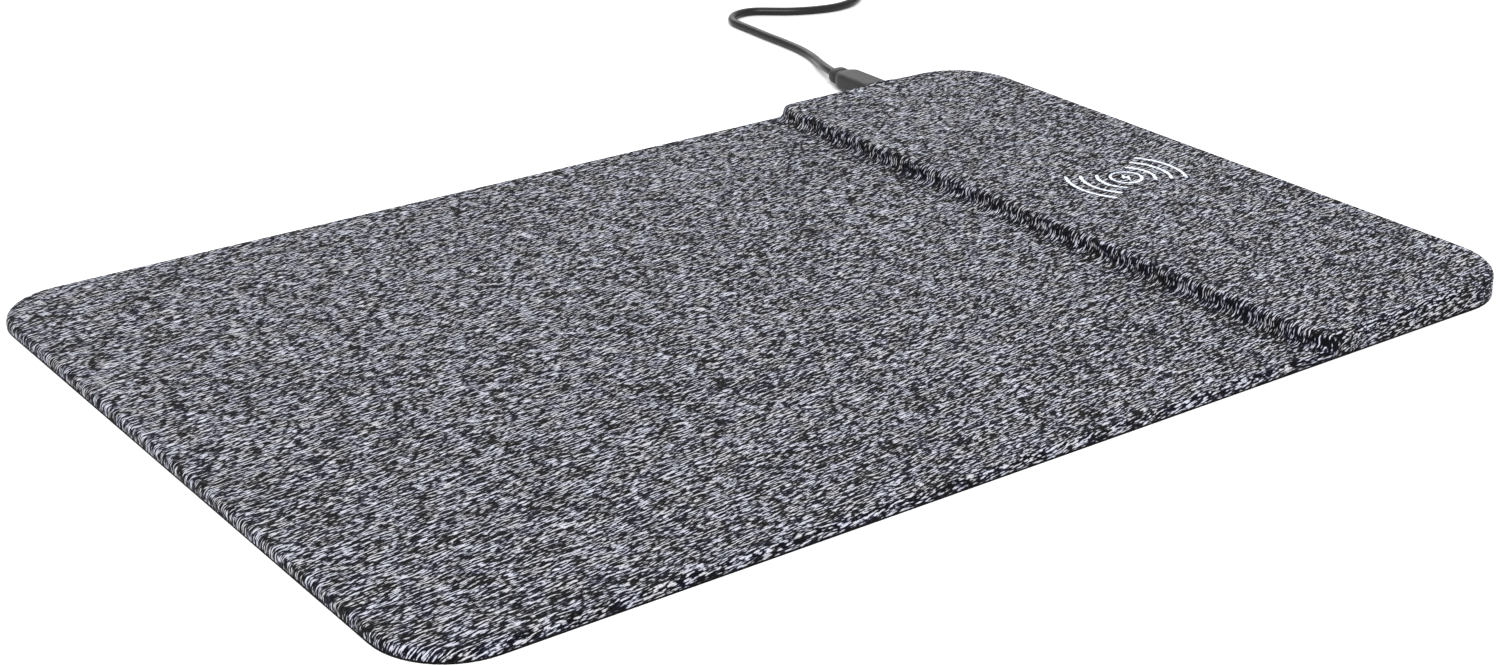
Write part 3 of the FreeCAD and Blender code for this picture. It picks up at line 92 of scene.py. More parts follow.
class Paint:
    """A material under construction: short calls for the few node types that the looks need."""

    def __init__(self, name):
        self.material = bpy.data.materials.new(name)
        self.material.use_nodes = True
        self.tree = self.material.node_tree
        self.shader = self.tree.nodes["Principled BSDF"]
        self.place = self.node("ShaderNodeTexCoord").outputs["Object"]

    def node(self, kind, **settings):
        made = self.tree.nodes.new(kind)
        for key, value in settings.items():
            setattr(made, key, value)
        return made

    def feed(self, socket, value):
        if isinstance(value, bpy.types.NodeSocket):
            self.tree.links.new(value, socket)
        elif isinstance(value, tuple) and len(value) == 3 and socket.type == "RGBA":
            socket.default_value = (*value, 1.0)
        else:
            socket.default_value = value

    def maths(self, operation, a, b=0.0, c=0.0):
        node = self.node("ShaderNodeMath", operation=operation)
        for socket, value in zip(node.inputs, (a, b, c)):
            self.feed(socket, value)
        return node.outputs[0]

    def blend(self, a, share_a, b, share_b):
        """share_a of a plus share_b of b."""
        return self.maths("MULTIPLY_ADD", a, share_a, self.maths("MULTIPLY", b, share_b))

    def attribute(self, name):
        return self.node("ShaderNodeAttribute", attribute_name=name).outputs["Vector"]

    def axes(self, vector):
        node = self.node("ShaderNodeSeparateXYZ")
        self.feed(node.inputs[0], vector)
        return node.outputs

    def vector(self, operation, a, b):
        node = self.node("ShaderNodeVectorMath", operation=operation)
        self.feed(node.inputs[0], a)
        self.feed(node.inputs[1], b)
        return node.outputs[0]

    def mapped(self, vector, scale=(1.0, 1.0, 1.0), shift=(0.0, 0.0, 0.0), angle=0.0):
        """The vector scaled, then turned about Z, then shifted."""
        node = self.node("ShaderNodeMapping")
        self.feed(node.inputs["Vector"], vector)
        node.inputs["Scale"].default_value = scale
        node.inputs["Rotation"].default_value = (0.0, 0.0, angle)
        node.inputs["Location"].default_value = shift
        return node.outputs[0]

    def noise(self, vector, scale, detail=2.0, rough=0.5, colour=False):
        node = self.node("ShaderNodeTexNoise")
        self.feed(node.inputs["Vector"], vector)
        node.inputs["Scale"].default_value = scale
        node.inputs["Detail"].default_value = detail
        node.inputs["Roughness"].default_value = rough
        return node.outputs["Color" if colour else "Fac"]

    def cells(self, vector, scale=1.0, feature="F1", random=1.0, flat=False):
        node = self.node("ShaderNodeTexVoronoi", feature=feature,
                         voronoi_dimensions="2D" if flat else "3D")
        self.feed(node.inputs["Vector"], vector)
        node.inputs["Scale"].default_value = scale
        node.inputs["Randomness"].default_value = random
        return node

    def edges(self, scale, random=1.0):
        """The distance to the nearest border between cells."""
        return self.cells(self.place, scale, "DISTANCE_TO_EDGE", random).outputs["Distance"]

    def chance(self, cells):
        """One random number from 0 to 1 for each cell."""
        node = self.node("ShaderNodeSeparateColor")
        self.feed(node.inputs[0], cells.outputs["Color"])
        return node.outputs[0]

    def ramp(self, factor, *stops, smooth=False):
        """A colour, or a grey from one number, for each value of factor."""
        node = self.node("ShaderNodeValToRGB")
        node.color_ramp.interpolation = "EASE" if smooth else "LINEAR"
        marks = node.color_ramp.elements
        while len(marks) < len(stops):
            marks.new(0.5)
        for mark, (place, colour) in zip(marks, stops):
            mark.position = place
            mark.color = (*colour, 1.0) if isinstance(colour, tuple) else (colour,) * 3 + (1.0,)
        self.feed(node.inputs[0], factor)
        return node.outputs[0]

    def mix(self, factor, a, b):
        node = self.node("ShaderNodeMix", data_type="RGBA")
        self.feed(node.inputs["Factor"], factor)
        self.feed(node.inputs["A"], a)
        self.feed(node.inputs["B"], b)
        return node.outputs["Result"]

    def bump(self, height, depth, strength):
        node = self.node("ShaderNodeBump")
        self.feed(node.inputs["Height"], height)
        node.inputs["Distance"].default_value = depth
        node.inputs["Strength"].default_value = strength
        return node.outputs[0]

    def finish(self, colour, rough, normal=None, **settings):
        self.feed(self.shader.inputs["Base Color"], colour)
        self.feed(self.shader.inputs["Roughness"], rough)
        if normal is not None:
            self.feed(self.shader.inputs["Normal"], normal)
        for key, value in settings.items():
            self.feed(self.shader.inputs[key.replace("_", " ")], value)
        return self.material


# ---------- the knit

# The strokes' angle to the pad's width, in radians, and how far they stray, in metres.
KNIT_TURN = -0.12
KNIT_DRIFT = (1.5 * MM, 1.3 * MM, 0.0)
# The marks' length and thickness in millimetres, and the fibres' number per metre.
STROKE, STREAK, DASH = (2.5, 0.48), (7.0, 0.60), (1.5, 0.36)
FIBRES = (800, 2800, 1)
STREAK_SHIFT, DASH_SHIFT, PATCH_SHIFT = (1.7, 5.2, 0), (7.3, 3.1, 0), (0.3, 0.1, 0)
DRIFT_SCALE, PATCH_SCALE, WIDE_PATCH_SCALE = 90.0, 150.0, 40.0
# The last share darkens the knit by the painted shade in the step's hollow.
DASH_SHARE, START_VALUE, PAINTED_SHADE_SHARE = 0.40, 0.27, -0.082
# The yarn's colour at each brightness, in a bluish patch and in a grey one.
KNIT_VALUES = (0.443, 0.500, 0.576, 0.642, 0.725)
KNIT_COOL = ((0.0018, 0.0018, 0.0046), (0.0074, 0.0078, 0.0160), (0.040, 0.042, 0.064),
             (0.160, 0.165, 0.206), (0.45, 0.46, 0.52))
KNIT_WARM = ((0.0022, 0.0022, 0.0026), (0.0084, 0.0084, 0.0096), (0.042, 0.042, 0.048),
             (0.160, 0.160, 0.175), (0.44, 0.44, 0.465))
SHOWING_YARN = (0.20, 0.22, 0.27)
INK_DARK, INK_LIGHT = (0.60, 0.66, 0.77), (0.84, 0.89, 0.97)


def per_mark(size):
    """The scale that makes a mark of this length and thickness one unit each way."""
    return (1 / (size[0] * MM), 1 / (size[1] * MM), 1)


def knit_pattern(paint):
    """The knit's brightness with painted shade in the step's hollow, its relief and its patches.

    The mesh's "cloth" attribute holds each point's place in the flat cloth, in metres, and as its
    third number the painted shade of the step's hollow, by how deep the point lies in it, 0 to 1.
    """
    # The painted shade of the step's hollow, from the cloth attribute's third number.
    hollow = paint.axes(paint.attribute("cloth"))[2]
    cloth = paint.vector("MULTIPLY", paint.attribute("cloth"), (1.0, 1.0, 0.0))
    cloth = paint.mapped(cloth, angle=KNIT_TURN)
    drift = paint.noise(cloth, DRIFT_SCALE, 1.0, 0.5, colour=True)
    drift = paint.vector("SUBTRACT", drift, (0.5, 0.5, 0.5))
    drift = paint.vector("MULTIPLY", drift, KNIT_DRIFT)
    cloth = paint.vector("ADD", cloth, drift)
    stroke = paint.noise(paint.mapped(cloth, per_mark(STROKE)), 1.0, 0.0)
    streak = paint.noise(paint.mapped(cloth, per_mark(STREAK), STREAK_SHIFT), 1.0, 0.0)
    dash = paint.cells(paint.mapped(cloth, per_mark(DASH), DASH_SHIFT), flat=True)
    fibre = paint.noise(paint.mapped(cloth, FIBRES), 1.0, 1.0, 0.6)
    patch = paint.noise(cloth, PATCH_SCALE, 1.0, 0.5)
    wide_patch = paint.noise(paint.mapped(cloth, shift=PATCH_SHIFT), WIDE_PATCH_SCALE, 1.0, 0.5)
    # Each dash is lighter at its middle and darker towards its border: painted shade where the
    # round yarns meet. The same profile also shapes the relief.
    rounded = paint.maths("SUBTRACT", 1.0, dash.outputs["Distance"])
    value = paint.maths("MULTIPLY_ADD", paint.chance(dash), DASH_SHARE, START_VALUE)
    # Painted shade: the knit gets darker deep in the step's hollow.
    value = paint.maths("MULTIPLY_ADD", hollow, PAINTED_SHADE_SHARE, value)
    layers = ((stroke, 1.00), (streak, 0.62), (fibre, 0.60), (patch, 0.12), (wide_patch, 0.10),
              (rounded, 0.40))
    for layer, share in layers:
        value = paint.maths("MULTIPLY_ADD", paint.maths("SUBTRACT", layer, 0.5), share, value)
    relief = paint.maths("MULTIPLY_ADD", stroke, 2.0, rounded)
    relief = paint.maths("MULTIPLY_ADD", fibre, 0.6, relief)
    return value, relief, patch


def paint_knit():
    paint = Paint("melange_knit")
    value, relief, patch = knit_pattern(paint)
    cool = paint.ramp(value, *zip(KNIT_VALUES, KNIT_COOL))
    warm = paint.ramp(value, *zip(KNIT_VALUES, KNIT_WARM))
    tint = paint.ramp(patch, (0.40, 0.0), (0.58, 1.0))
    colour = paint.mix(tint, warm, cool)
    rough = paint.ramp(value, (0.2, 0.95), (0.8, 0.80))
    return paint.finish(colour, rough, paint.bump(relief, 0.22 * MM, 0.8),
                        Sheen_Weight=0.02, Sheen_Roughness=0.45, Specular_IOR_Level=0.07)


def paint_print():
    """Pale ink pressed into the knit, thin where a dark stitch shows through."""
    paint = Paint("mark_print")
    value, relief, _ = knit_pattern(paint)
    cover = paint.ramp(value, (0.18, 0.0), (0.40, 1.0))
    ink = paint.ramp(value, (0.3, INK_DARK), (0.8, INK_LIGHT))
    colour = paint.mix(cover, SHOWING_YARN, ink)
    rough = paint.ramp(value, (0.2, 0.7), (0.8, 0.45))
    return paint.finish(colour, rough, paint.bump(relief, 0.14 * MM, 0.6))


# ---------- the other finishes

def paint_moulded(name, dark, light, rough, grain, shine):
    """Moulded plastic or rubber: eroded fine texture and faint uneven colour."""
    paint = Paint(name)
    cloud = paint.noise(paint.place, 260.0, 3.0)
    fine = paint.noise(paint.place, 5200.0, 3.0, 0.65)
    pits = paint.cells(paint.place, 3800.0).outputs["Distance"]
    colour = paint.ramp(paint.blend(fine, 0.35, cloud, 0.65), (0.35, dark), (0.65, light))
    normal = paint.bump(paint.maths("MULTIPLY_ADD", pits, 0.6, fine), grain * MM, 0.7)
    return paint.finish(colour, paint.ramp(fine, (0.3, rough[0]), (0.7, rough[1])), normal,
                        Specular_IOR_Level=shine)


def paint_metal(name, dark, light, rough):
    """Plated or drawn metal: fine lines along one way, with duller patches."""
    paint = Paint(name)
    lines = paint.noise(paint.mapped(paint.place, (900.0, 60.0, 900.0)), 1.0, 3.0, 0.6)
    smudge = paint.noise(paint.place, 420.0, 2.0)
    colour = paint.ramp(paint.blend(lines, 0.5, smudge, 0.5), (0.3, dark), (0.7, light))
    return paint.finish(colour, paint.ramp(smudge, (0.3, rough[0]), (0.7, rough[1])),
                        paint.bump(lines, 0.015 * MM, 0.5), Metallic=1.0)


def paint_foam(name, dark, light, cell):
    """Open-cell foam: little rims round little holes, with painted shade in the holes."""
    paint = Paint(name)
    hollow = paint.ramp(paint.edges(cell), (0.02, 0.0), (0.25, 1.0))
    cloud = paint.noise(paint.place, 300.0, 2.0)
    # Painted shade: the holes' middles take the darker cloudy colour and the rims the light one.
    colour = paint.mix(hollow, light, paint.ramp(cloud, (0.3, dark), (0.7, light)))
    return paint.finish(colour, paint.ramp(cloud, (0.3, 0.85), (0.7, 0.98)),
                        paint.bump(paint.maths("SUBTRACT", 1.0, hollow), 0.25 * MM, 0.8))


def paint_rubber():
    """The base's non-slip rubber: small raised diamonds, dusty on their tops."""
    paint = Paint("base_rubber")
    pitch = 1.9 * MM
    diagonal = paint.axes(paint.mapped(paint.place, (math.tau / pitch,) * 3,
                                       angle=math.radians(45)))
    across = paint.maths("MULTIPLY", paint.maths("SINE", diagonal[0]),
                         paint.maths("SINE", diagonal[1]))
    studs = paint.ramp(across, (0.02, 0.0), (0.35, 1.0), smooth=True)
    dust = paint.noise(paint.place, 700.0, 4.0, 0.6)
    colour = paint.mix(paint.maths("MULTIPLY", studs, dust), (0.0035, 0.0035, 0.0037),
                       (0.0150, 0.0150, 0.0155))
    height = paint.maths("MULTIPLY_ADD", dust, 0.25, studs)
    return paint.finish(colour, paint.ramp(dust, (0.3, 0.62), (0.7, 0.86)),
                        paint.bump(height, 0.18 * MM, 0.8), Specular_IOR_Level=0.06)


def paint_jacket():
    """The lead's soft PVC jacket: satin, with faint drawing lines and finger marks."""
    paint = Paint("lead_jacket")
    fine = paint.noise(paint.place, 2600.0, 3.0, 0.6)
    cloud = paint.noise(paint.place, 120.0, 2.0)
    colour = paint.ramp(paint.blend(fine, 0.3, cloud, 0.7), (0.35, (0.0055, 0.0055, 0.0058)),
                        (0.65, (0.0100, 0.0100, 0.0105)))
    return paint.finish(colour, paint.ramp(fine, (0.3, 0.24), (0.7, 0.36)),
                        paint.bump(fine, 0.04 * MM, 0.6), Specular_IOR_Level=0.22)


def paint_board():
    """A green solder mask over routed copper, with the laminate's weave under it."""
    paint = Paint("board")
    copper = paint.ramp(paint.edges(620.0, 0.55), (0.06, 1.0), (0.10, 0.0))
    weave = paint.noise(paint.mapped(paint.place, (2400, 2400, 200)), 1.0, 1.0)
    mask = paint.mix(copper, (0.012, 0.070, 0.032), (0.030, 0.150, 0.060))
    colour = paint.mix(paint.maths("MULTIPLY", weave, 0.3), mask, (0.05, 0.16, 0.08))
    return paint.finish(colour, paint.ramp(weave, (0.3, 0.28), (0.7, 0.42)),
                        paint.bump(copper, 0.05 * MM, 0.7))


def paint_copper():
    """Enamelled copper strands, twisted."""
    paint = Paint("coil_copper")
    strands = paint.noise(paint.mapped(paint.place, (2600, 2600, 5200)), 1.0, 2.0, 0.7)
    colour = paint.ramp(strands, (0.3, (0.30, 0.085, 0.030)), (0.7, (0.62, 0.24, 0.10)))
    return paint.finish(colour, paint.ramp(strands, (0.3, 0.25), (0.7, 0.45)),
                        paint.bump(strands, 0.1 * MM, 0.8), Metallic=0.85)


def paint_ferrite():
    """Sintered sheet: grains with hairline cracks between its plates."""
    paint = Paint("ferrite")
    cracks = paint.ramp(paint.edges(260.0), (0.0, 0.0), (0.02, 1.0))
    grain = paint.noise(paint.place, 4200.0, 2.0)
    plates = paint.ramp(grain, (0.3, (0.040, 0.040, 0.043)), (0.7, (0.075, 0.075, 0.078)))
    colour = paint.mix(cracks, (0.004, 0.004, 0.004), plates)
    return paint.finish(colour, paint.ramp(grain, (0.3, 0.35), (0.7, 0.55)),
                        paint.bump(cracks, 0.03 * MM, 0.6))


# Dark and light colour, least and most roughness, grain depth in millimetres, shine.
MOULDED = {
    "shell_plastic": ((0.022, 0.022, 0.024), (0.036, 0.036, 0.038), (0.45, 0.62), 0.05, 0.4),
    "tape": ((0.52, 0.50, 0.44), (0.66, 0.64, 0.58), (0.30, 0.45), 0.03, 0.4),
    "lead_wire": ((0.42, 0.020, 0.016), (0.58, 0.040, 0.030), (0.35, 0.5), 0.03, 0.4),
    "chip_black": ((0.012, 0.012, 0.012), (0.026, 0.026, 0.027), (0.5, 0.7), 0.05, 0.4),
    "ceramic_tan": ((0.34, 0.24, 0.15), (0.46, 0.34, 0.22), (0.3, 0.45), 0.03, 0.4),
    "inductor_grey": ((0.075, 0.075, 0.08), (0.13, 0.13, 0.135), (0.5, 0.75), 0.08, 0.4),
    "insert_black": ((0.010, 0.010, 0.010), (0.020, 0.020, 0.021), (0.45, 0.62), 0.05, 0.4),
    "grip_grey": ((0.012, 0.012, 0.0125), (0.022, 0.022, 0.0225), (0.38, 0.52), 0.07, 0.22),
    "tie_black": ((0.012, 0.012, 0.013), (0.024, 0.024, 0.025), (0.32, 0.48), 0.03, 0.4),
    "insert_white": ((0.66, 0.66, 0.63), (0.78, 0.78, 0.75), (0.35, 0.5), 0.03, 0.4),
}
# Dark and light colour, least and most roughness.
METAL = {
    "screw_steel": ((0.42, 0.42, 0.43), (0.62, 0.62, 0.62), (0.16, 0.34)),
    "plated_shell": ((0.58, 0.58, 0.57), (0.80, 0.80, 0.78), (0.16, 0.34)),
    "contact_gold": ((0.72, 0.47, 0.16), (0.92, 0.68, 0.30), (0.14, 0.28)),
}
FINISHES = {
    "knit_fabric": paint_knit(),
    "mark_print": paint_print(),
    "base_rubber": paint_rubber(),
    "foam": paint_foam("mat_foam", (0.020, 0.020, 0.021), (0.055, 0.055, 0.057), 1400.0),
    "cushion_foam": paint_foam("cushion_foam", (0.08, 0.08, 0.085), (0.15, 0.15, 0.155), 1800.0),
    "coil_copper": paint_copper(),
    "ferrite": paint_ferrite(),
    "board": paint_board(),
    "lead_jacket": paint_jacket(),
}
FINISHES.update({slot: paint_moulded(slot, *look) for slot, look in MOULDED.items()})
FINISHES.update({slot: paint_metal(slot, *look) for slot, look in METAL.items()})


def wear(thing, slot):
    """Gives a piece or a CAD node the finish of a record slot."""
    thing.data.materials.clear()
    thing.data.materials.append(FINISHES[slot])


for part in RECORD["subparts"]:
    wear(NODES[part["node"]], part["material_slot"])


# ---------- mesh helpers

def mesh_piece(name, points, faces, slot, body, smooth=True, cloth=None):
    """A new mesh piece from points in metres. With no body, the caller makes it ride later."""
    mesh = bpy.data.meshes.new(name)
    mesh.from_pydata([tuple(p) for p in points], [], faces)
    if cloth is not None:
        layer = mesh.attributes.new("cloth", "FLOAT_VECTOR", "POINT")
        layer.data.foreach_set("vector", np.array(cloth, np.float32).ravel())
    shape = bmesh.new()
    shape.from_mesh(mesh)
    bmesh.ops.recalc_face_normals(shape, faces=shape.faces)
    shape.to_mesh(mesh)
    shape.free()
    mesh.polygons.foreach_set("use_smooth", [smooth] * len(mesh.polygons))
    piece = bpy.data.objects.new(name, mesh)
    SCENE.collection.objects.link(piece)
    wear(piece, slot)
    if body is not None:
        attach(piece, body)
    return piece


def keep_modifiers(piece):
    """Applies a piece's modifiers to its mesh."""
    graph = bpy.context.evaluated_depsgraph_get()
    mesh = bpy.data.meshes.new_from_object(piece.evaluated_get(graph))
    piece.modifiers.clear()
    piece.data = mesh


def quarter_turn(quarter, steps):
    """Unit ways out through one corner of a box, counter-clockwise; quarter 0 points down first."""
    for i in range(steps + 1):
        angle = math.radians(quarter * 90 - 90 + 90 * i / steps)
        yield math.cos(angle), math.sin(angle)


def rounded_outline(low, high, radii, steps):
    """Points and outward ways round a rounded box; radii are of its left and right corners."""
    out = []
    for quarter, (sx, sy) in enumerate(((1, -1), (1, 1), (-1, 1), (-1, -1))):
        radius = radii[1] if sx > 0 else radii[0]
        cx = (high[0] - radius) if sx > 0 else (low[0] + radius)
        cy = (high[1] - radius) if sy > 0 else (low[1] + radius)
        for way in quarter_turn(quarter, steps):
            out.append(((cx + radius * way[0], cy + radius * way[1]), way))
    return out


def tube_faces(rings, count, closed=False):
    """Quads between rings of the same number of points, in rows."""
    faces = []
    for j in range(rings if closed else rings - 1):
        for i in range(count):
            a, b = j * count, (j + 1) % rings * count
            faces.append((a + i, a + (i + 1) % count, b + (i + 1) % count, b + i))
    return faces


def capped_faces(rings, count):
    """A tube's quads with one face over each end."""
    total = rings * count
    return tube_faces(rings, count) + [tuple(range(count)), tuple(range(total - count, total))]


def loft(name, sections, slot, body, place, steps):
    """A closed solid through (along Y, half width, half height, corner radius), put in place."""
    points = []
    for along, wide, high, radius in sections:
        for (x, z), _ in rounded_outline((-wide, -high), (wide, high), (radius, radius), steps):
            points.append(place @ Vector((x, along, z)))
    return mesh_piece(name, points, capped_faces(len(sections), 4 * (steps + 1)), slot, body)


# ---------- the lead

CORD_RADIUS = 1.5 * MM
PLUG_END = (135.5, 140.9, 3.55)
LEAD_ROUTE = [
    PLUG_END, (136.4, 147.2, 3.9), (139.9, 155.0, 2.9), (144.4, 163.4, 1.5), (146.8, 173.2, 1.5),
    (147.4, 184.5, 1.5), (147.2, 195.5, 1.5), (147.5, 204.5, 1.5), (147.5, 211.2, 1.5),
    (147.7, 216.7, 1.5), (149.7, 221.1, 1.5), (153.3, 224.2, 1.5), (158.0, 225.4, 1.5),
    (162.7, 224.4, 1.5), (167.2, 221.1, 1.5), (173.6, 216.1, 1.5), (181.6, 212.6, 1.5),
    (190.2, 210.6, 1.5), (198.4, 211.6, 1.6), (205.2, 215.6, 1.7), (211.0, 222.2, 1.8),
    (216.0, 229.6, 2.0),
]
COIL_X, COIL_Y = 238.0, 224.0
COIL_START = 144.4
TURN_STEPS = 16
# Each turn's radius and height, and then those of its last steps, which pass on to the next turn.
TURNS = [
    (21.0, 2.0, ((20.25, 2.0), (19.5, 2.0), (18.75, 2.0))),
    (18.0, 2.0, ((17.25, 2.0), (16.5, 2.0), (15.75, 2.0))),
    (15.0, 2.0, ((14.25, 2.0), (13.5, 2.0), (12.75, 2.0))),
    (12.0, 2.0, ((11.3, 3.1), (11.3, 4.2), (12.2, 5.0))),
    (13.5, 4.8, ((14.25, 4.8), (15.0, 4.8), (15.75, 4.8))),
    (16.5, 4.8, ((17.25, 4.8), (18.0, 4.8), (18.75, 4.8))),
    (19.5, 4.8, ((20.2, 5.6), (20.4, 6.7), (19.6, 7.7))),
    (18.0, 7.6, ((18.0, 7.6), (17.4, 7.8), (16.5, 7.8))),
]
LAST_TURN = [(15.0, 7.7), (15.4, 8.9), (16.8, 10.3), (19.0, 10.6), (21.3, 9.2)]
# The tail runs straight past the coil's middle: its heading, its distance to the left of that
# middle, and its points' distance along it and height.
TAIL_HEADING, TAIL_OFFSET = -35.5, 21.5
TAIL = [(9.0, 7.0), (15.0, 5.9), (21.0, 4.6), (27.0, 4.0)]


def coil_place(angle, radius, height):
    """A control point of the coil. It stands out, so that the curve itself has the radius."""
    radius /= math.cos(math.pi / TURN_STEPS)
    return (COIL_X + radius * math.cos(math.radians(angle)),
            COIL_Y + radius * math.sin(math.radians(angle)), height)


def tail_place(along, height):
    heading = math.radians(TAIL_HEADING)
    return (COIL_X + along * math.cos(heading) - TAIL_OFFSET * math.sin(heading),
            COIL_Y + along * math.sin(heading) + TAIL_OFFSET * math.cos(heading), height)


def lead_points():
    """The whole lead in millimetres: over the desk, round the coil and on to the far plug."""
    points = list(LEAD_ROUTE)
    step = 360.0 / TURN_STEPS
    angle = COIL_START
    for radius, height, shifts in TURNS:
        for i in range(TURN_STEPS):
            late = i - (TURN_STEPS - len(shifts))
            r, z = (radius, height) if late < 0 else shifts[late]
            points.append(coil_place(angle, r, z))
            angle -= step
    for r, z in LAST_TURN:
        points.append(coil_place(angle, r, z))
        angle -= step
    points += [tail_place(*spot) for spot in TAIL]
    return points


def make_lead():
    data = bpy.data.curves.new("charge_cord", "CURVE")
    data.dimensions = "3D"
    data.bevel_depth = CORD_RADIUS
    data.bevel_resolution = 5
    data.use_fill_caps = True
    data.resolution_u = 5
    spline = data.splines.new("NURBS")
    points = lead_points()
    spline.points.add(len(points) - 1)
    for spot, point in zip(points, spline.points):
        point.co = (*(c * MM for c in spot), 1.0)
    spline.order_u = 3
    spline.use_endpoint_u = True
    lead = bpy.data.objects.new("charge_cord", data)
    SCENE.collection.objects.link(lead)
    wear(lead, "lead_jacket")
    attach(lead, "lead")
    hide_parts("charge_lead", "lead_coil", "lead_tail")
    return lead


lead = make_lead()


# ---------- the coil's tie

TIE_ANGLE = -50.0
# The middle of the bundle of turns in section, as distance from the coil's middle and height, and
# the tie's path round it.
TIE_MIDDLE = (16.5, 4.8)
TIE_PATH = [(-7.4, -4.6), (-7.4, 0.2), (-4.6, 4.4), (4.6, 4.4), (7.3, 0.2), (7.3, -4.6)]
TIE_LOWEST, TIE_ROUNDING, TIE_CORNER_STEPS = 0.22, 1.5, 5
# The band's section, across and outwards: flat, with a ridge over the wire in its middle.
TIE_PROFILE = [(-2.0, -0.08), (-1.9, -0.16), (-0.55, -0.16), (0.0, -0.3), (0.55, -0.16),
               (1.9, -0.16), (2.0, -0.08), (2.0, 0.08), (1.9, 0.16), (0.55, 0.16), (0.0, 0.3),
               (-0.55, 0.16), (-1.9, 0.16), (-2.0, 0.08)]
# The two ends, twisted together: where they start, their length, turns and half sizes. They part
# from the given share of their length on.
TWIST_FROM, TWIST_LENGTH, TWIST_TURNS = 23.8, 9.0, 2.6
TWIST_HALF_WIDE, TWIST_HALF_THICK = 0.42, 0.26
TWIST_LOW, TWIST_RISE, TWIST_SWING = 1.35, 0.5, 0.5
TWIST_PARTING, TWIST_SPREAD = 0.82, 0.75
TWIST_RINGS, TWIST_SIDES = 40, 8


def tie_outline():
    """The tie's path with rounded corners."""
    corners = [(TIE_MIDDLE[0] + r, max(TIE_MIDDLE[1] + z, TIE_LOWEST)) for r, z in TIE_PATH]
    outline = []
    for i, corner in enumerate(corners):
        ends = []
        for other in (corners[i - 1], corners[(i + 1) % len(corners)]):
            way = Vector(other) - Vector(corner)
            ends.append(Vector(corner) + way.normalized() * min(TIE_ROUNDING, way.length * 0.45))
        for k in range(TIE_CORNER_STEPS + 1):
            t = k / TIE_CORNER_STEPS
            outline.append(ends[0] * (1 - t) ** 2 + Vector(corner) * 2 * t * (1 - t)
                           + ends[1] * t * t)
    return outline


def twisted_end(place, start):
    """Points of one end, which winds round the other and parts from it at the tip."""
    points = []
    for j in range(TWIST_RINGS):
        t = j / (TWIST_RINGS - 1)
        angle = start + t * math.tau * TWIST_TURNS
        apart = TWIST_SPREAD * max(0.0, t - TWIST_PARTING) / (1 - TWIST_PARTING)
        centre = Vector((TWIST_FROM + TWIST_LENGTH * t,
                         (TWIST_HALF_WIDE + apart) * math.cos(angle),
                         TWIST_LOW + TWIST_RISE * t + TWIST_SWING * math.sin(angle)))
        for i in range(TWIST_SIDES):
            turned = i * math.tau / TWIST_SIDES + angle
            out = Vector((0, TWIST_HALF_WIDE * math.cos(turned),
                          TWIST_HALF_THICK * math.sin(turned)))
            points.append(place @ ((centre + out) * MM))
    return points


def make_tie():
    """A flat tie with a wire in its middle, once round the bundle."""
    outline = tie_outline()
    turn = Matrix.Rotation(math.radians(TIE_ANGLE), 4, "Z")
    place = Matrix.Translation((COIL_X * MM, COIL_Y * MM, 0)) @ turn
    points = []
    for i, spot in enumerate(outline):
        along = outline[(i + 1) % len(outline)] - outline[i - 1]
        out = Vector((along[1], -along[0])).normalized()
        for side, depth in TIE_PROFILE:
            at = spot + out * depth
            points.append(place @ Vector((at[0] * MM, side * MM, at[1] * MM)))
    faces = tube_faces(len(outline), len(TIE_PROFILE), closed=True)
    band = mesh_piece("tie_band", points, faces, "tie_black", "lead")
    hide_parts("lead_tie")
    for number, start in ((1, 0.0), (2, math.pi)):
        end = mesh_piece(f"tie_end_{number}", twisted_end(place, start),
                         capped_faces(TWIST_RINGS, TWIST_SIDES), "tie_black", "lead")
        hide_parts("lead_tie")
    return ["tie_band", "tie_end_1", "tie_end_2"]


TIE_PIECES = make_tie()


# ---------- the plugs

# Lofted bodies as sections: place along the plug, half width, half height, corner radius.
MICRO_GRIP = [
    (117.9, 4.3, 2.35, 1.5), (118.05, 4.65, 2.7, 1.8), (118.5, 4.88, 2.93, 1.95),
    (119.4, 4.9, 2.95, 2.0), (132.8, 4.9, 2.95, 2.0), (133.6, 4.85, 2.92, 2.0),
    (134.4, 4.65, 2.82, 2.0), (135.4, 4.2, 2.64, 2.0), (136.4, 3.7, 2.45, 2.0),
    (137.0, 3.4, 2.36, 2.0), (137.3, 3.3, 2.32, 2.0),
]
MICRO_COLLAR = [
    (137.3, 3.25, 2.3, 2.0), (137.5, 3.42, 2.5, 2.1), (138.0, 3.5, 2.6, 2.2),
    (139.4, 3.45, 2.58, 2.2), (140.2, 3.3, 2.45, 2.1), (140.65, 3.0, 2.2, 1.95),
    (140.9, 2.4, 1.85, 1.7),
]
NEAR_STEPS, FAR_STEPS = 7, 5
RELIEF_RINGS, RELIEF_PITCH = 4, 1.9
GRIP_RIBS, RIB_PITCH, RIBS_FROM = 5, 2.6, 15.0


def relief_sections():
    """The far plug's strain relief: rings with slots between them, wider towards the grip."""
    sections = [(0.0, 2.0, 1.9, 1.85), (0.3, 2.3, 2.1, 1.95)]
    for i in range(RELIEF_RINGS):
        start = 1.2 + RELIEF_PITCH * i
        wider, higher = 0.42 * i, 0.2 * i
        sections += [(start, 2.35 + wider, 2.15 + higher, 2.0),
                     (start + 0.15, 1.95 + wider, 1.8 + higher, 1.7),
                     (start + 0.75, 2.0 + wider, 1.85 + higher, 1.75),
                     (start + 0.9, 2.55 + wider, 2.25 + higher, 2.1)]
    return sections + [(8.7, 3.95, 3.0, 2.2), (9.0, 4.0, 3.0, 2.2)]


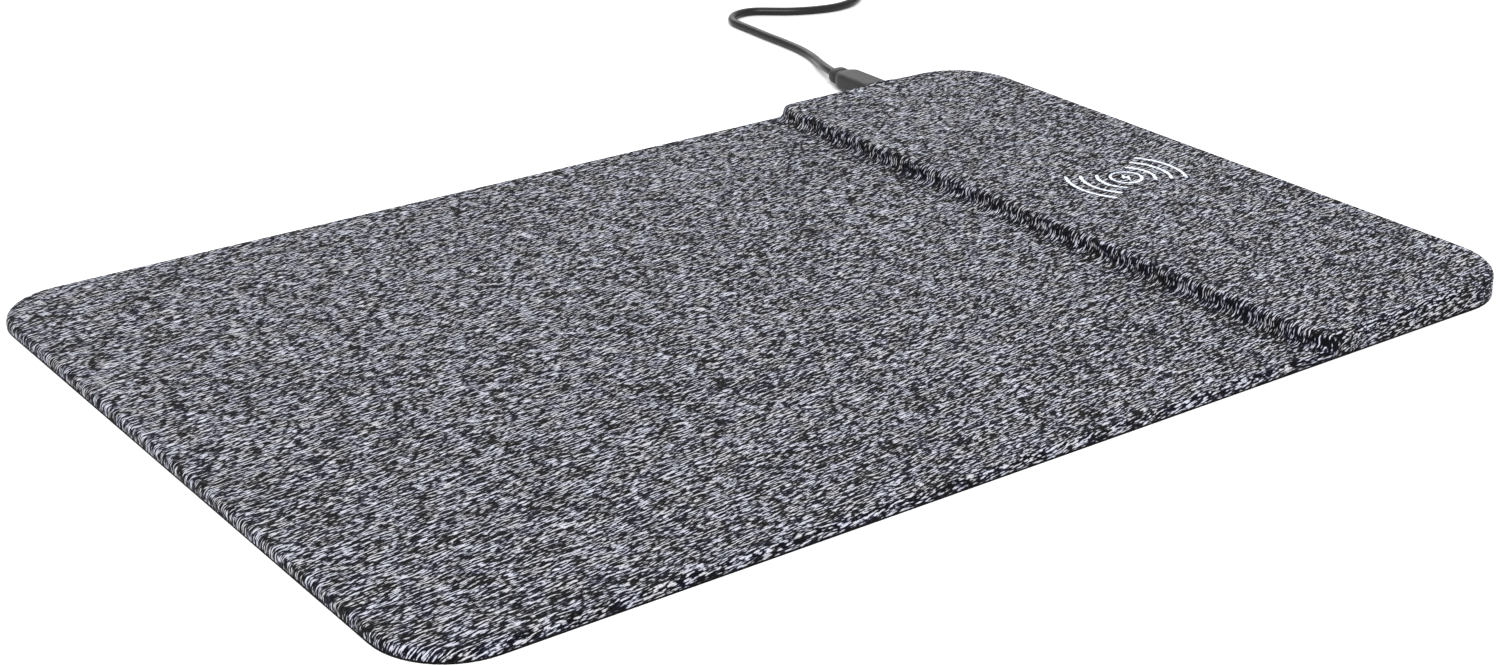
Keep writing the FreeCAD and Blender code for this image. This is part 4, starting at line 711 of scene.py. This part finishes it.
def far_grip_sections():
    """The far plug's grip, with grooves across its middle to hold it by."""
    sections = [(9.0, 6.6, 2.7, 1.6), (9.35, 7.4, 3.5, 2.0), (10.2, 7.9, 3.95, 2.2),
                (13.0, 8.0, 4.0, 2.2)]
    for i in range(GRIP_RIBS):
        start = RIBS_FROM + RIB_PITCH * i
        sections += [(start, 8.0, 4.0, 2.2), (start + 0.25, 7.7, 3.88, 2.2),
                     (start + 1.0, 7.7, 3.88, 2.2), (start + 1.25, 8.0, 4.0, 2.2)]
    return sections + [(33.6, 8.0, 4.0, 2.2), (34.6, 7.85, 3.9, 2.15), (35.0, 7.4, 3.5, 1.9)]


def plug_body(name, node, sections, place, steps):
    body = loft(name, sections, "grip_grey", "lead", place, steps)
    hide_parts(node)
    return name


def make_plugs():
    """The near plug's grip and flared collar, then the far plug's strain relief and grip."""
    near = Matrix.Translation((PLUG_END[0] * MM, 0, PLUG_END[2] * MM)) @ Matrix.Scale(MM, 4)
    heading = Matrix.Rotation(math.radians(TAIL_HEADING - 90.0), 4, "Z")
    far = Matrix.Translation([c * MM for c in tail_place(*TAIL[-1])]) @ heading
    far = far @ Matrix.Scale(MM, 4)
    return ([plug_body("near_plug_grip", "micro_plug_grip", MICRO_GRIP, near, NEAR_STEPS),
             plug_body("near_plug_collar", "micro_plug_collar", MICRO_COLLAR, near,
                       NEAR_STEPS)],
            [plug_body("far_plug_relief", "usb_a_relief", relief_sections(), far, FAR_STEPS),
             plug_body("far_plug_grip", "usb_a_grip", far_grip_sections(), far, FAR_STEPS)])


NEAR_PIECES, FAR_PIECES = make_plugs()


# ---------- the fabric cover

BACK, LEFT, RIGHT = 117.5, -175.0, 175.0
MAT_TOP, STRIP_TOP, HEM = 3.0, 7.0, 0.5
MAT_EDGE, STRIP_EDGE = 1.4, 2.1
CORNER_LEFT, CORNER_RIGHT = 20.0, 22.0
CORNER_STEPS = 9
CLOTH_THICK = 0.6
# The step in section: its foot, its steepest place and its brow.
FOOT_X, FACE_X, BROW_X, FACE_Z = 89.3, 92.2, 94.8, 4.9
CURVE_STEPS = 12
# The rounding in plan of the step's two ends, and how far to its sides that fades out.
END_ROUND, END_REACH = 6.0, 14.0
# The step's painted shade in its hollow: how far the shade's edges stand from the foot and brow,
# and how wide they are.
PAINTED_SHADE_FRONT, PAINTED_SHADE_BACK, PAINTED_SHADE_RISE, PAINTED_SHADE_FALL = 0.3, 0.5, 4.5, 1.7
# The inner grid starts this far in from the outline; these depths lie between it and the edge.
INSET = 22.0
MAT_COLUMNS, ROW_COUNT = 62, 108
FLAT_DEPTHS = (2.7, 3.4, 4.4, 6.0, 8.5, 12.0, 16.5)
WALL_SHARES = (0.0, 0.15, 0.307, 0.6, 0.8, 1.0)
EDGE_ANGLES = (10, 22, 34, 46, 58, 70, 80, 90)
# The opening for the plug: its middle, half its width, and the rows of the rim that it takes.
PORT_X, PORT_HALF, PORT_ROWS = 135.5, 4.3, (2, 3, 4, 5)
PORT_LIFT, PORT_SPREAD = 0.5, 6.0
# Unevenness, as an amount and its length along the pad: of the walls, and of the step's foot.
WALL_WAVE, SLOW_WANDER, QUICK_WANDER = (0.10, 17.0), (0.75, 11.0), (0.4, 3.6)


def rise_of(height):
    """0 on the mat and 1 on the strip."""
    return (height - MAT_TOP) / (STRIP_TOP - MAT_TOP)


def limited(value):
    return min(1.0, max(0.0, value))


def fabric_columns():
    """Columns across the pad: x, top height, place in the flat cloth, edge radius, end share."""
    xs = list(np.linspace(LEFT + INSET, 80.0, MAT_COLUMNS)) + [82.5, 84.8, 86.6, 88.0]
    columns = [(x, MAT_TOP) for x in xs]
    for i in range(CURVE_STEPS):
        phi = math.radians(90.0 * i / CURVE_STEPS)
        columns.append((FOOT_X + (FACE_X - FOOT_X) * math.sin(phi),
                        FACE_Z - (FACE_Z - MAT_TOP) * math.cos(phi)))
    for i in range(CURVE_STEPS + 1):
        phi = math.radians(90.0 * i / CURVE_STEPS)
        columns.append((BROW_X - (BROW_X - FACE_X) * math.cos(phi),
                        FACE_Z + (STRIP_TOP - FACE_Z) * math.sin(phi)))
    xs = [96.2, 98.2, 101.0] + list(np.linspace(104.5, PORT_X - PORT_HALF, 8))
    xs += [PORT_X - 2.2, PORT_X, PORT_X + 2.2]
    xs += list(np.linspace(PORT_X + PORT_HALF, RIGHT - INSET, 5))
    columns += [(x, STRIP_TOP) for x in xs]
    out, run = [], 0.0
    for i, (x, z) in enumerate(columns):
        if i:
            run += math.hypot(x - columns[i - 1][0], z - columns[i - 1][1])
        near = max(0.0, 1.0 - max(0.0, FOOT_X - x, x - BROW_X) / END_REACH)
        out.append((x, z, LEFT + INSET + run, MAT_EDGE + (STRIP_EDGE - MAT_EDGE) * rise_of(z),
                    near * near * (3 - 2 * near)))
    return out


def foot_wander(x, y, rise):
    """How far the step's foot strays from its straight line, more at the foot than at the brow."""
    near = max(0.0, 1.0 - abs(x - (FOOT_X + 1.5)) / 5.0)
    slow = SLOW_WANDER[0] * noise.noise(Vector((y / SLOW_WANDER[1], 3.7, 1.3)))
    quick = QUICK_WANDER[0] * noise.noise(Vector((y / QUICK_WANDER[1], 9.1, 4.2)))
    return (slow + quick) * near * (1.0 - 0.55 * rise)


def step_shade(x, y):
    """How much painted shade a point gets in the step's hollow, 0 to 1, with an uneven front."""
    front = FOOT_X - PAINTED_SHADE_FRONT + 2.0 * noise.noise(Vector((y / 5.0, 2.2, 7.7)))
    rising = limited((x - front + PAINTED_SHADE_RISE) / PAINTED_SHADE_RISE)
    return rising * limited((BROW_X - PAINTED_SHADE_BACK - x) / PAINTED_SHADE_FALL)


def end_shift(share, depth):
    """The step moves right near the pad's front and back, which rounds its ends in plan."""
    left = max(0.0, END_ROUND - depth)
    return share * (END_ROUND - math.sqrt(END_ROUND ** 2 - left ** 2))


def cover_rim(columns, rows):
    """The outline, counter-clockwise from its front left, and where in it the back side starts.

    Each entry: outer point, inward way, inner point, top height, place in the flat cloth less x,
    edge radius, end share.
    """
    rim = []
    extra = columns[-1][2] - columns[-1][0]

    def side_of_columns(order, side):
        for x, z, flat, radius, share in order:
            rim.append(((x, side * BACK), (0, -side), (x, side * (BACK - INSET)), z, flat - x,
                        radius, share))

    def side_of_rows(order, side):
        end, z, more, radius = sides[side]
        for y in order:
            rim.append(((end, y), (-side, 0), (end - side * INSET, y), z, more, radius, 0.0))

    def corner(side_x, side_y, quarter):
        end, z, more, edge = sides[side_x]
        radius = CORNER_RIGHT if side_x > 0 else CORNER_LEFT
        centre = (end - side_x * radius, side_y * (BACK - radius))
        inner = (end - side_x * INSET, side_y * (BACK - INSET))
        for x, y in quarter_turn(quarter, CORNER_STEPS):
            rim.append(((centre[0] + radius * x, centre[1] + radius * y), (-x, -y), inner, z,
                        more, edge, 0.0))

    sides = {1: (RIGHT, STRIP_TOP, extra, STRIP_EDGE), -1: (LEFT, MAT_TOP, 0.0, MAT_EDGE)}
    side_of_columns(columns, -1)
    corner(1, -1, 0)
    side_of_rows(rows, 1)
    corner(1, 1, 1)
    back_start = len(rim)
    side_of_columns(columns[::-1], 1)
    corner(-1, 1, 2)
    side_of_rows(rows[::-1], -1)
    corner(-1, -1, 3)
    return rim, back_start


def cover_points(rim, columns, rows):
    """Points in metres with their "cloth" values: up the walls, over the edges, and inwards."""
    points, cloth = [], []

    def add(spot, height, flat, x):
        points.append(Vector((spot[0], spot[1], height)) * MM)
        # The cloth's third number is the painted shade of the step's hollow.
        cloth.append((flat[0] * MM, flat[1] * MM, step_shade(x, spot[1])))

    for wall_share in WALL_SHARES:
        for (x, y), (nx, ny), _, z, more, radius, share in rim:
            wall_top = z - radius
            height = HEM + (wall_top - HEM) * wall_share
            wave = WALL_WAVE[0] * noise.noise(Vector((x / WALL_WAVE[1], y / WALL_WAVE[1], 2.0)))
            wave *= 1.0 - wall_share
            down = radius * math.pi / 2 + wall_top - height - radius
            add((x + end_shift(share, 0) + nx * wave, y + ny * wave),
                height + 0.5 * abs(wave) * (1 - wall_share),
                (x + more - nx * down, y - ny * down), x)
    for angle in EDGE_ANGLES:
        phi = math.radians(angle)
        for (x, y), (nx, ny), _, z, more, radius, share in rim:
            depth = radius * (1 - math.cos(phi))
            # The fabric bulges a little over the plug's opening.
            lift = 0.0
            if y > BACK - 1:
                lift = PORT_LIFT * math.exp(-((x - PORT_X) / PORT_SPREAD) ** 2) * math.sin(phi)
            down = radius * (math.pi / 2 - phi) - radius
            add((x + nx * depth + end_shift(share, depth), y + ny * depth + 0.4 * lift),
                z - radius + radius * math.sin(phi) + lift,
                (x + more - nx * down, y - ny * down), x)
    start = FLAT_DEPTHS[0]
    for depth in FLAT_DEPTHS:
        t = max(0.0, (depth - start) / (INSET - start))
        for (x, y), (nx, ny), (ix, iy), z, more, radius, share in rim:
            sx, sy = x + nx * start, y + ny * start
            px, py = sx + (ix - sx) * t, sy + (iy - sy) * t
            wander = foot_wander(px, py, rise_of(z)) * limited((depth - 3.0) / 6.0)
            add((px + end_shift(share, depth) + wander, py), z, (px + more, py), px)
    for y in rows:
        for x, z, flat, radius, share in columns:
            add((x + foot_wander(x, y, rise_of(z)), y), z, (flat, y), x)
    return points, cloth


def cover_faces(rim, back_start, column_count, row_count):
    """Quads up the rim and over the inner grid, without those at the plug's opening."""
    count = len(rim)
    rim_rows = len(WALL_SHARES) + len(EDGE_ANGLES) + len(FLAT_DEPTHS)
    last_row, last_column = row_count - 1, column_count - 1

    def grid(row, column):
        return rim_rows * count + row * column_count + column

    # The border of the inner grid in the rim's order; a corner's points all meet one grid point.
    meet = CORNER_STEPS + 1
    border = [grid(0, c) for c in range(column_count)] + [grid(0, last_column)] * meet
    border += [grid(r, last_column) for r in range(row_count)]
    border += [grid(last_row, last_column)] * meet
    border += [grid(last_row, c) for c in range(last_column, -1, -1)] + [grid(last_row, 0)] * meet
    border += [grid(r, 0) for r in range(last_row, -1, -1)] + [grid(0, 0)] * meet

    faces = []
    for j in range(rim_rows):
        inner = border if j + 1 == rim_rows else [(j + 1) * count + i for i in range(count)]
        for i in range(count):
            k = (i + 1) % count
            if j in PORT_ROWS and back_start <= i < back_start + column_count:
                if abs((rim[i][0][0] + rim[k][0][0]) / 2 - PORT_X) < PORT_HALF:
                    continue
            face = [j * count + i, j * count + k, inner[k], inner[i]]
            ring = [v for n, v in enumerate(face) if v != face[n - 1]]
            if len(ring) > 2:
                faces.append(tuple(ring))
    for r in range(last_row):
        for c in range(last_column):
            faces.append((grid(r, c), grid(r, c + 1), grid(r + 1, c + 1), grid(r + 1, c)))
    return faces


def make_cover():
    """The knitted cover, its area in square metres, and what the step adds to its length."""
    columns = fabric_columns()
    rows = list(np.linspace(-BACK + INSET, BACK - INSET, ROW_COUNT))
    rim, back_start = cover_rim(columns, rows)
    points, cloth = cover_points(rim, columns, rows)
    faces = cover_faces(rim, back_start, len(columns), len(rows))
    cover = mesh_piece("knit_cover", points, faces, "knit_fabric", None, cloth=cloth)
    shape = bmesh.new()
    shape.from_mesh(cover.data)
    loose = [v for v in shape.verts if not v.link_faces]
    bmesh.ops.delete(shape, geom=loose, context="VERTS")
    bmesh.ops.recalc_face_normals(shape, faces=shape.faces)
    if sum(f.normal.z * f.calc_area() for f in shape.faces) < 0:
        bmesh.ops.reverse_faces(shape, faces=shape.faces)
    area = sum(f.calc_area() for f in shape.faces)
    shape.to_mesh(cover.data)
    shape.free()
    thicken = cover.modifiers.new("thick", "SOLIDIFY")
    thicken.thickness = CLOTH_THICK * MM
    thicken.offset = -1.0
    keep_modifiers(cover)
    wear(cover, "knit_fabric")
    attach(cover, "pad")
    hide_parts("fabric_cover")
    return cover, area, columns[-1][2] - columns[-1][0]


cover, COVER_AREA, STEP_EXTRA = make_cover()


# ---------- the printed mark

MARK_FOOT, MARK_TOP = 6.93, 7.045
MARK_LINE = 1.05
MARK_X, MARK_Y = 136.5, 0.4
MARK_RING, RING_STEPS = 4.78, 48
# The arcs' radii and half their spans in degrees.
MARK_ARCS = ((8.8, 45.0), (13.7, 39.0), (18.3, 36.0))
MARK_BOLT = [(0.9, 3.0), (-1.7, -0.4), (-0.2, -0.4), (-0.9, -3.0), (1.7, 0.4), (0.2, 0.4)]
# A line's round end has this many points between its two corners, and bulges a little.
CAP_STEPS, CAP_BULGE = 5, 1.08


class Print:
    """Flat inked shapes in millimetres, from outlines about the mark's middle."""

    def __init__(self):
        self.points, self.faces = [], []

    def slab(self, outline):
        """The points and side walls of one flat shape, from counter-clockwise points."""
        start, count = len(self.points), len(outline)
        for z in (MARK_FOOT, MARK_TOP):
            self.points.extend((MARK_X + x, MARK_Y + y, z) for x, y in outline)
        for i in range(count):
            k = (i + 1) % count
            self.faces.append((start + i, start + k, start + count + k, start + count + i))
        return start, count

    def sides(self, line, half, closed):
        """The two sides of a line, whose width is slightly uneven."""
        left, right = [], []
        total = len(line)
        for i, (x, y) in enumerate(line):
            ahead = line[(i + 1) % total] if closed or i + 1 < total else line[i]
            behind = line[i - 1] if closed or i else line[i]
            way = (Vector(ahead) - Vector(behind)).normalized()
            side = Vector((-way[1], way[0]))
            width = half * (1.0 + 0.10 * noise.noise(Vector((x * 1.7, y * 1.7, 5.0))))
            left.append(Vector((x, y)) + side * width)
            right.append(Vector((x, y)) - side * width)
        return left, right

    def ring(self, line, half):
        """A closed line."""
        total = len(line)
        start = len(self.points)
        for loop in self.sides(line, half, True):
            for z in (MARK_FOOT, MARK_TOP):
                self.points.extend((MARK_X + p[0], MARK_Y + p[1], z) for p in loop)
        a, b, c, d = (start + total * n for n in range(4))
        for i in range(total):
            k = (i + 1) % total
            self.faces += [(a + i, a + k, b + k, b + i), (c + k, c + i, d + i, d + k),
                           (b + i, b + k, d + k, d + i), (a + k, a + i, c + i, c + k)]

    def ribbon(self, line, half):
        """An open line with round ends."""
        left, right = self.sides(line, half, False)
        total = len(line)
        outline = []
        for side, end in ((right, line[-1]), (left[::-1], line[0])):
            outline += side
            spoke = Vector(side[-1]) - Vector(end)
            for step in range(1, CAP_STEPS + 1):
                turn = Matrix.Rotation(math.radians(180 * step / (CAP_STEPS + 1)), 2)
                outline.append(Vector(end) + turn @ spoke * CAP_BULGE)
        start, count = self.slab(outline)
        # The top and the foot: quads across the line, and one face over each round end.
        for base, flip in ((start, True), (start + count, False)):
            far = base + total + CAP_STEPS
            caps = [tuple(range(base + total - 1, far + 1)),
                    tuple(range(far + total - 1, base + count)) + (base,)]
            quads = [(base + i, base + i + 1, far + total - 2 - i, far + total - 1 - i)
                     for i in range(total - 1)]
            for face in caps + quads:
                self.faces.append(tuple(reversed(face)) if flip else face)


def make_mark():
    """The print over the coil: a ring, three arcs on each side of it, and a bolt."""
    ink = Print()
    angles = [math.tau * i / RING_STEPS for i in range(RING_STEPS)]
    ink.ring([(MARK_RING * math.cos(a), MARK_RING * math.sin(a)) for a in angles],
             MARK_LINE * 0.4)
    for radius, half_span in MARK_ARCS:
        for middle in (0.0, 180.0):
            count = max(12, int(radius * half_span / 18))
            angles = [math.radians(middle - half_span + 2 * half_span * i / count)
                      for i in range(count + 1)]
            ink.ribbon([(radius * math.cos(a), radius * math.sin(a)) for a in angles],
                       MARK_LINE / 2)
    start, count = ink.slab(MARK_BOLT)
    ink.faces.append(tuple(start + i for i in reversed(range(count))))
    ink.faces.append(tuple(start + count + i for i in range(count)))
    cloth = [((x + STEP_EXTRA) * MM, y * MM, 0.0) for x, y, _ in ink.points]
    mark = mesh_piece("printed_mark", [Vector(p) * MM for p in ink.points], ink.faces,
                      "mark_print", "pad", smooth=False, cloth=cloth)
    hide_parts("charging_mark")


make_mark()


# ---------- foam pieces

# Rounded edges as levels: inset in millimetres, share of the height.
MAT_LEVELS = ((2.0, 0.0), (0.35, 0.02), (0.10, 0.2), (0.0, 0.5), (0.10, 0.8), (0.45, 0.98),
              (2.2, 1.0))
COIL_LEVELS = ((1.6, 0.0), (0.35, 0.03), (0.0, 0.14), (0.45, 0.5), (0.0, 0.86), (0.35, 0.97),
               (1.6, 1.0))
FOAM_FILL, FOAM_STEPS = 0.9, 8


def foam_pad(name, node, radii, levels, slot):
    """A foam pad in the box of the CAD solid that it stands for."""
    low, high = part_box(node)
    outline = rounded_outline(low, high, radii, FOAM_STEPS)
    points = []
    for inset, share in levels:
        z = low.z + (high.z - low.z) * share
        for (x, y), (wx, wy) in outline:
            points.append((x - wx * inset * MM, y - wy * inset * MM, z))
    pad = mesh_piece(name, points, capped_faces(len(levels), len(outline)), slot, "pad")
    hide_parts(node)


foam_pad("mat_core", "foam_core", (19.4 * MM, 0.5 * MM), MAT_LEVELS, "foam")
foam_pad("coil_pad", "coil_cushion", (2.0 * MM, 2.0 * MM), COIL_LEVELS, "cushion_foam")


# ---------- studio

FLOOR_HALF = 6.0
SKY = 0.95
# Name, place, size and watts of each soft light; all face the origin.
LIGHTS = (("key", (-0.9, -1.3, 1.5), 1.1, 46.0), ("rear", (0.6, 1.4, 1.2), 1.3, 15.0))


def paint_floor():
    paint = Paint("studio_floor")
    cloud = paint.noise(paint.place, 3.0, 2.0)
    colour = paint.ramp(cloud, (0.3, (0.86, 0.86, 0.865)), (0.7, (0.88, 0.88, 0.885)))
    return paint.finish(colour, paint.ramp(cloud, (0.3, 0.85), (0.7, 0.95)),
                        Specular_IOR_Level=0.2)


def make_studio():
    mesh = bpy.data.meshes.new("floor")
    corners = [(FLOOR_HALF * x, FLOOR_HALF * y, 0) for x, y in ((-1, -1), (1, -1), (1, 1), (-1, 1))]
    mesh.from_pydata(corners, [], [(0, 1, 2, 3)])
    mesh.materials.append(paint_floor())
    floor = bpy.data.objects.new("floor", mesh)
    SCENE.collection.objects.link(floor)
    world = bpy.data.worlds.new("studio")
    world.use_nodes = True
    sky = world.node_tree.nodes["Background"].inputs
    sky["Color"].default_value = (1.0, 1.0, 1.0, 1.0)
    sky["Strength"].default_value = SKY
    SCENE.world = world
    for name, place, size, watts in LIGHTS:
        light = bpy.data.objects.new(name, bpy.data.lights.new(name, "AREA"))
        light.data.energy = watts
        light.data.size = size
        light.location = place
        light.rotation_euler = (-Vector(place)).to_track_quat("-Z", "Y").to_euler()
        SCENE.collection.objects.link(light)


make_studio()
SCENE.view_settings.view_transform = "Standard"


# ---------- finish

bpy.context.view_layer.update()
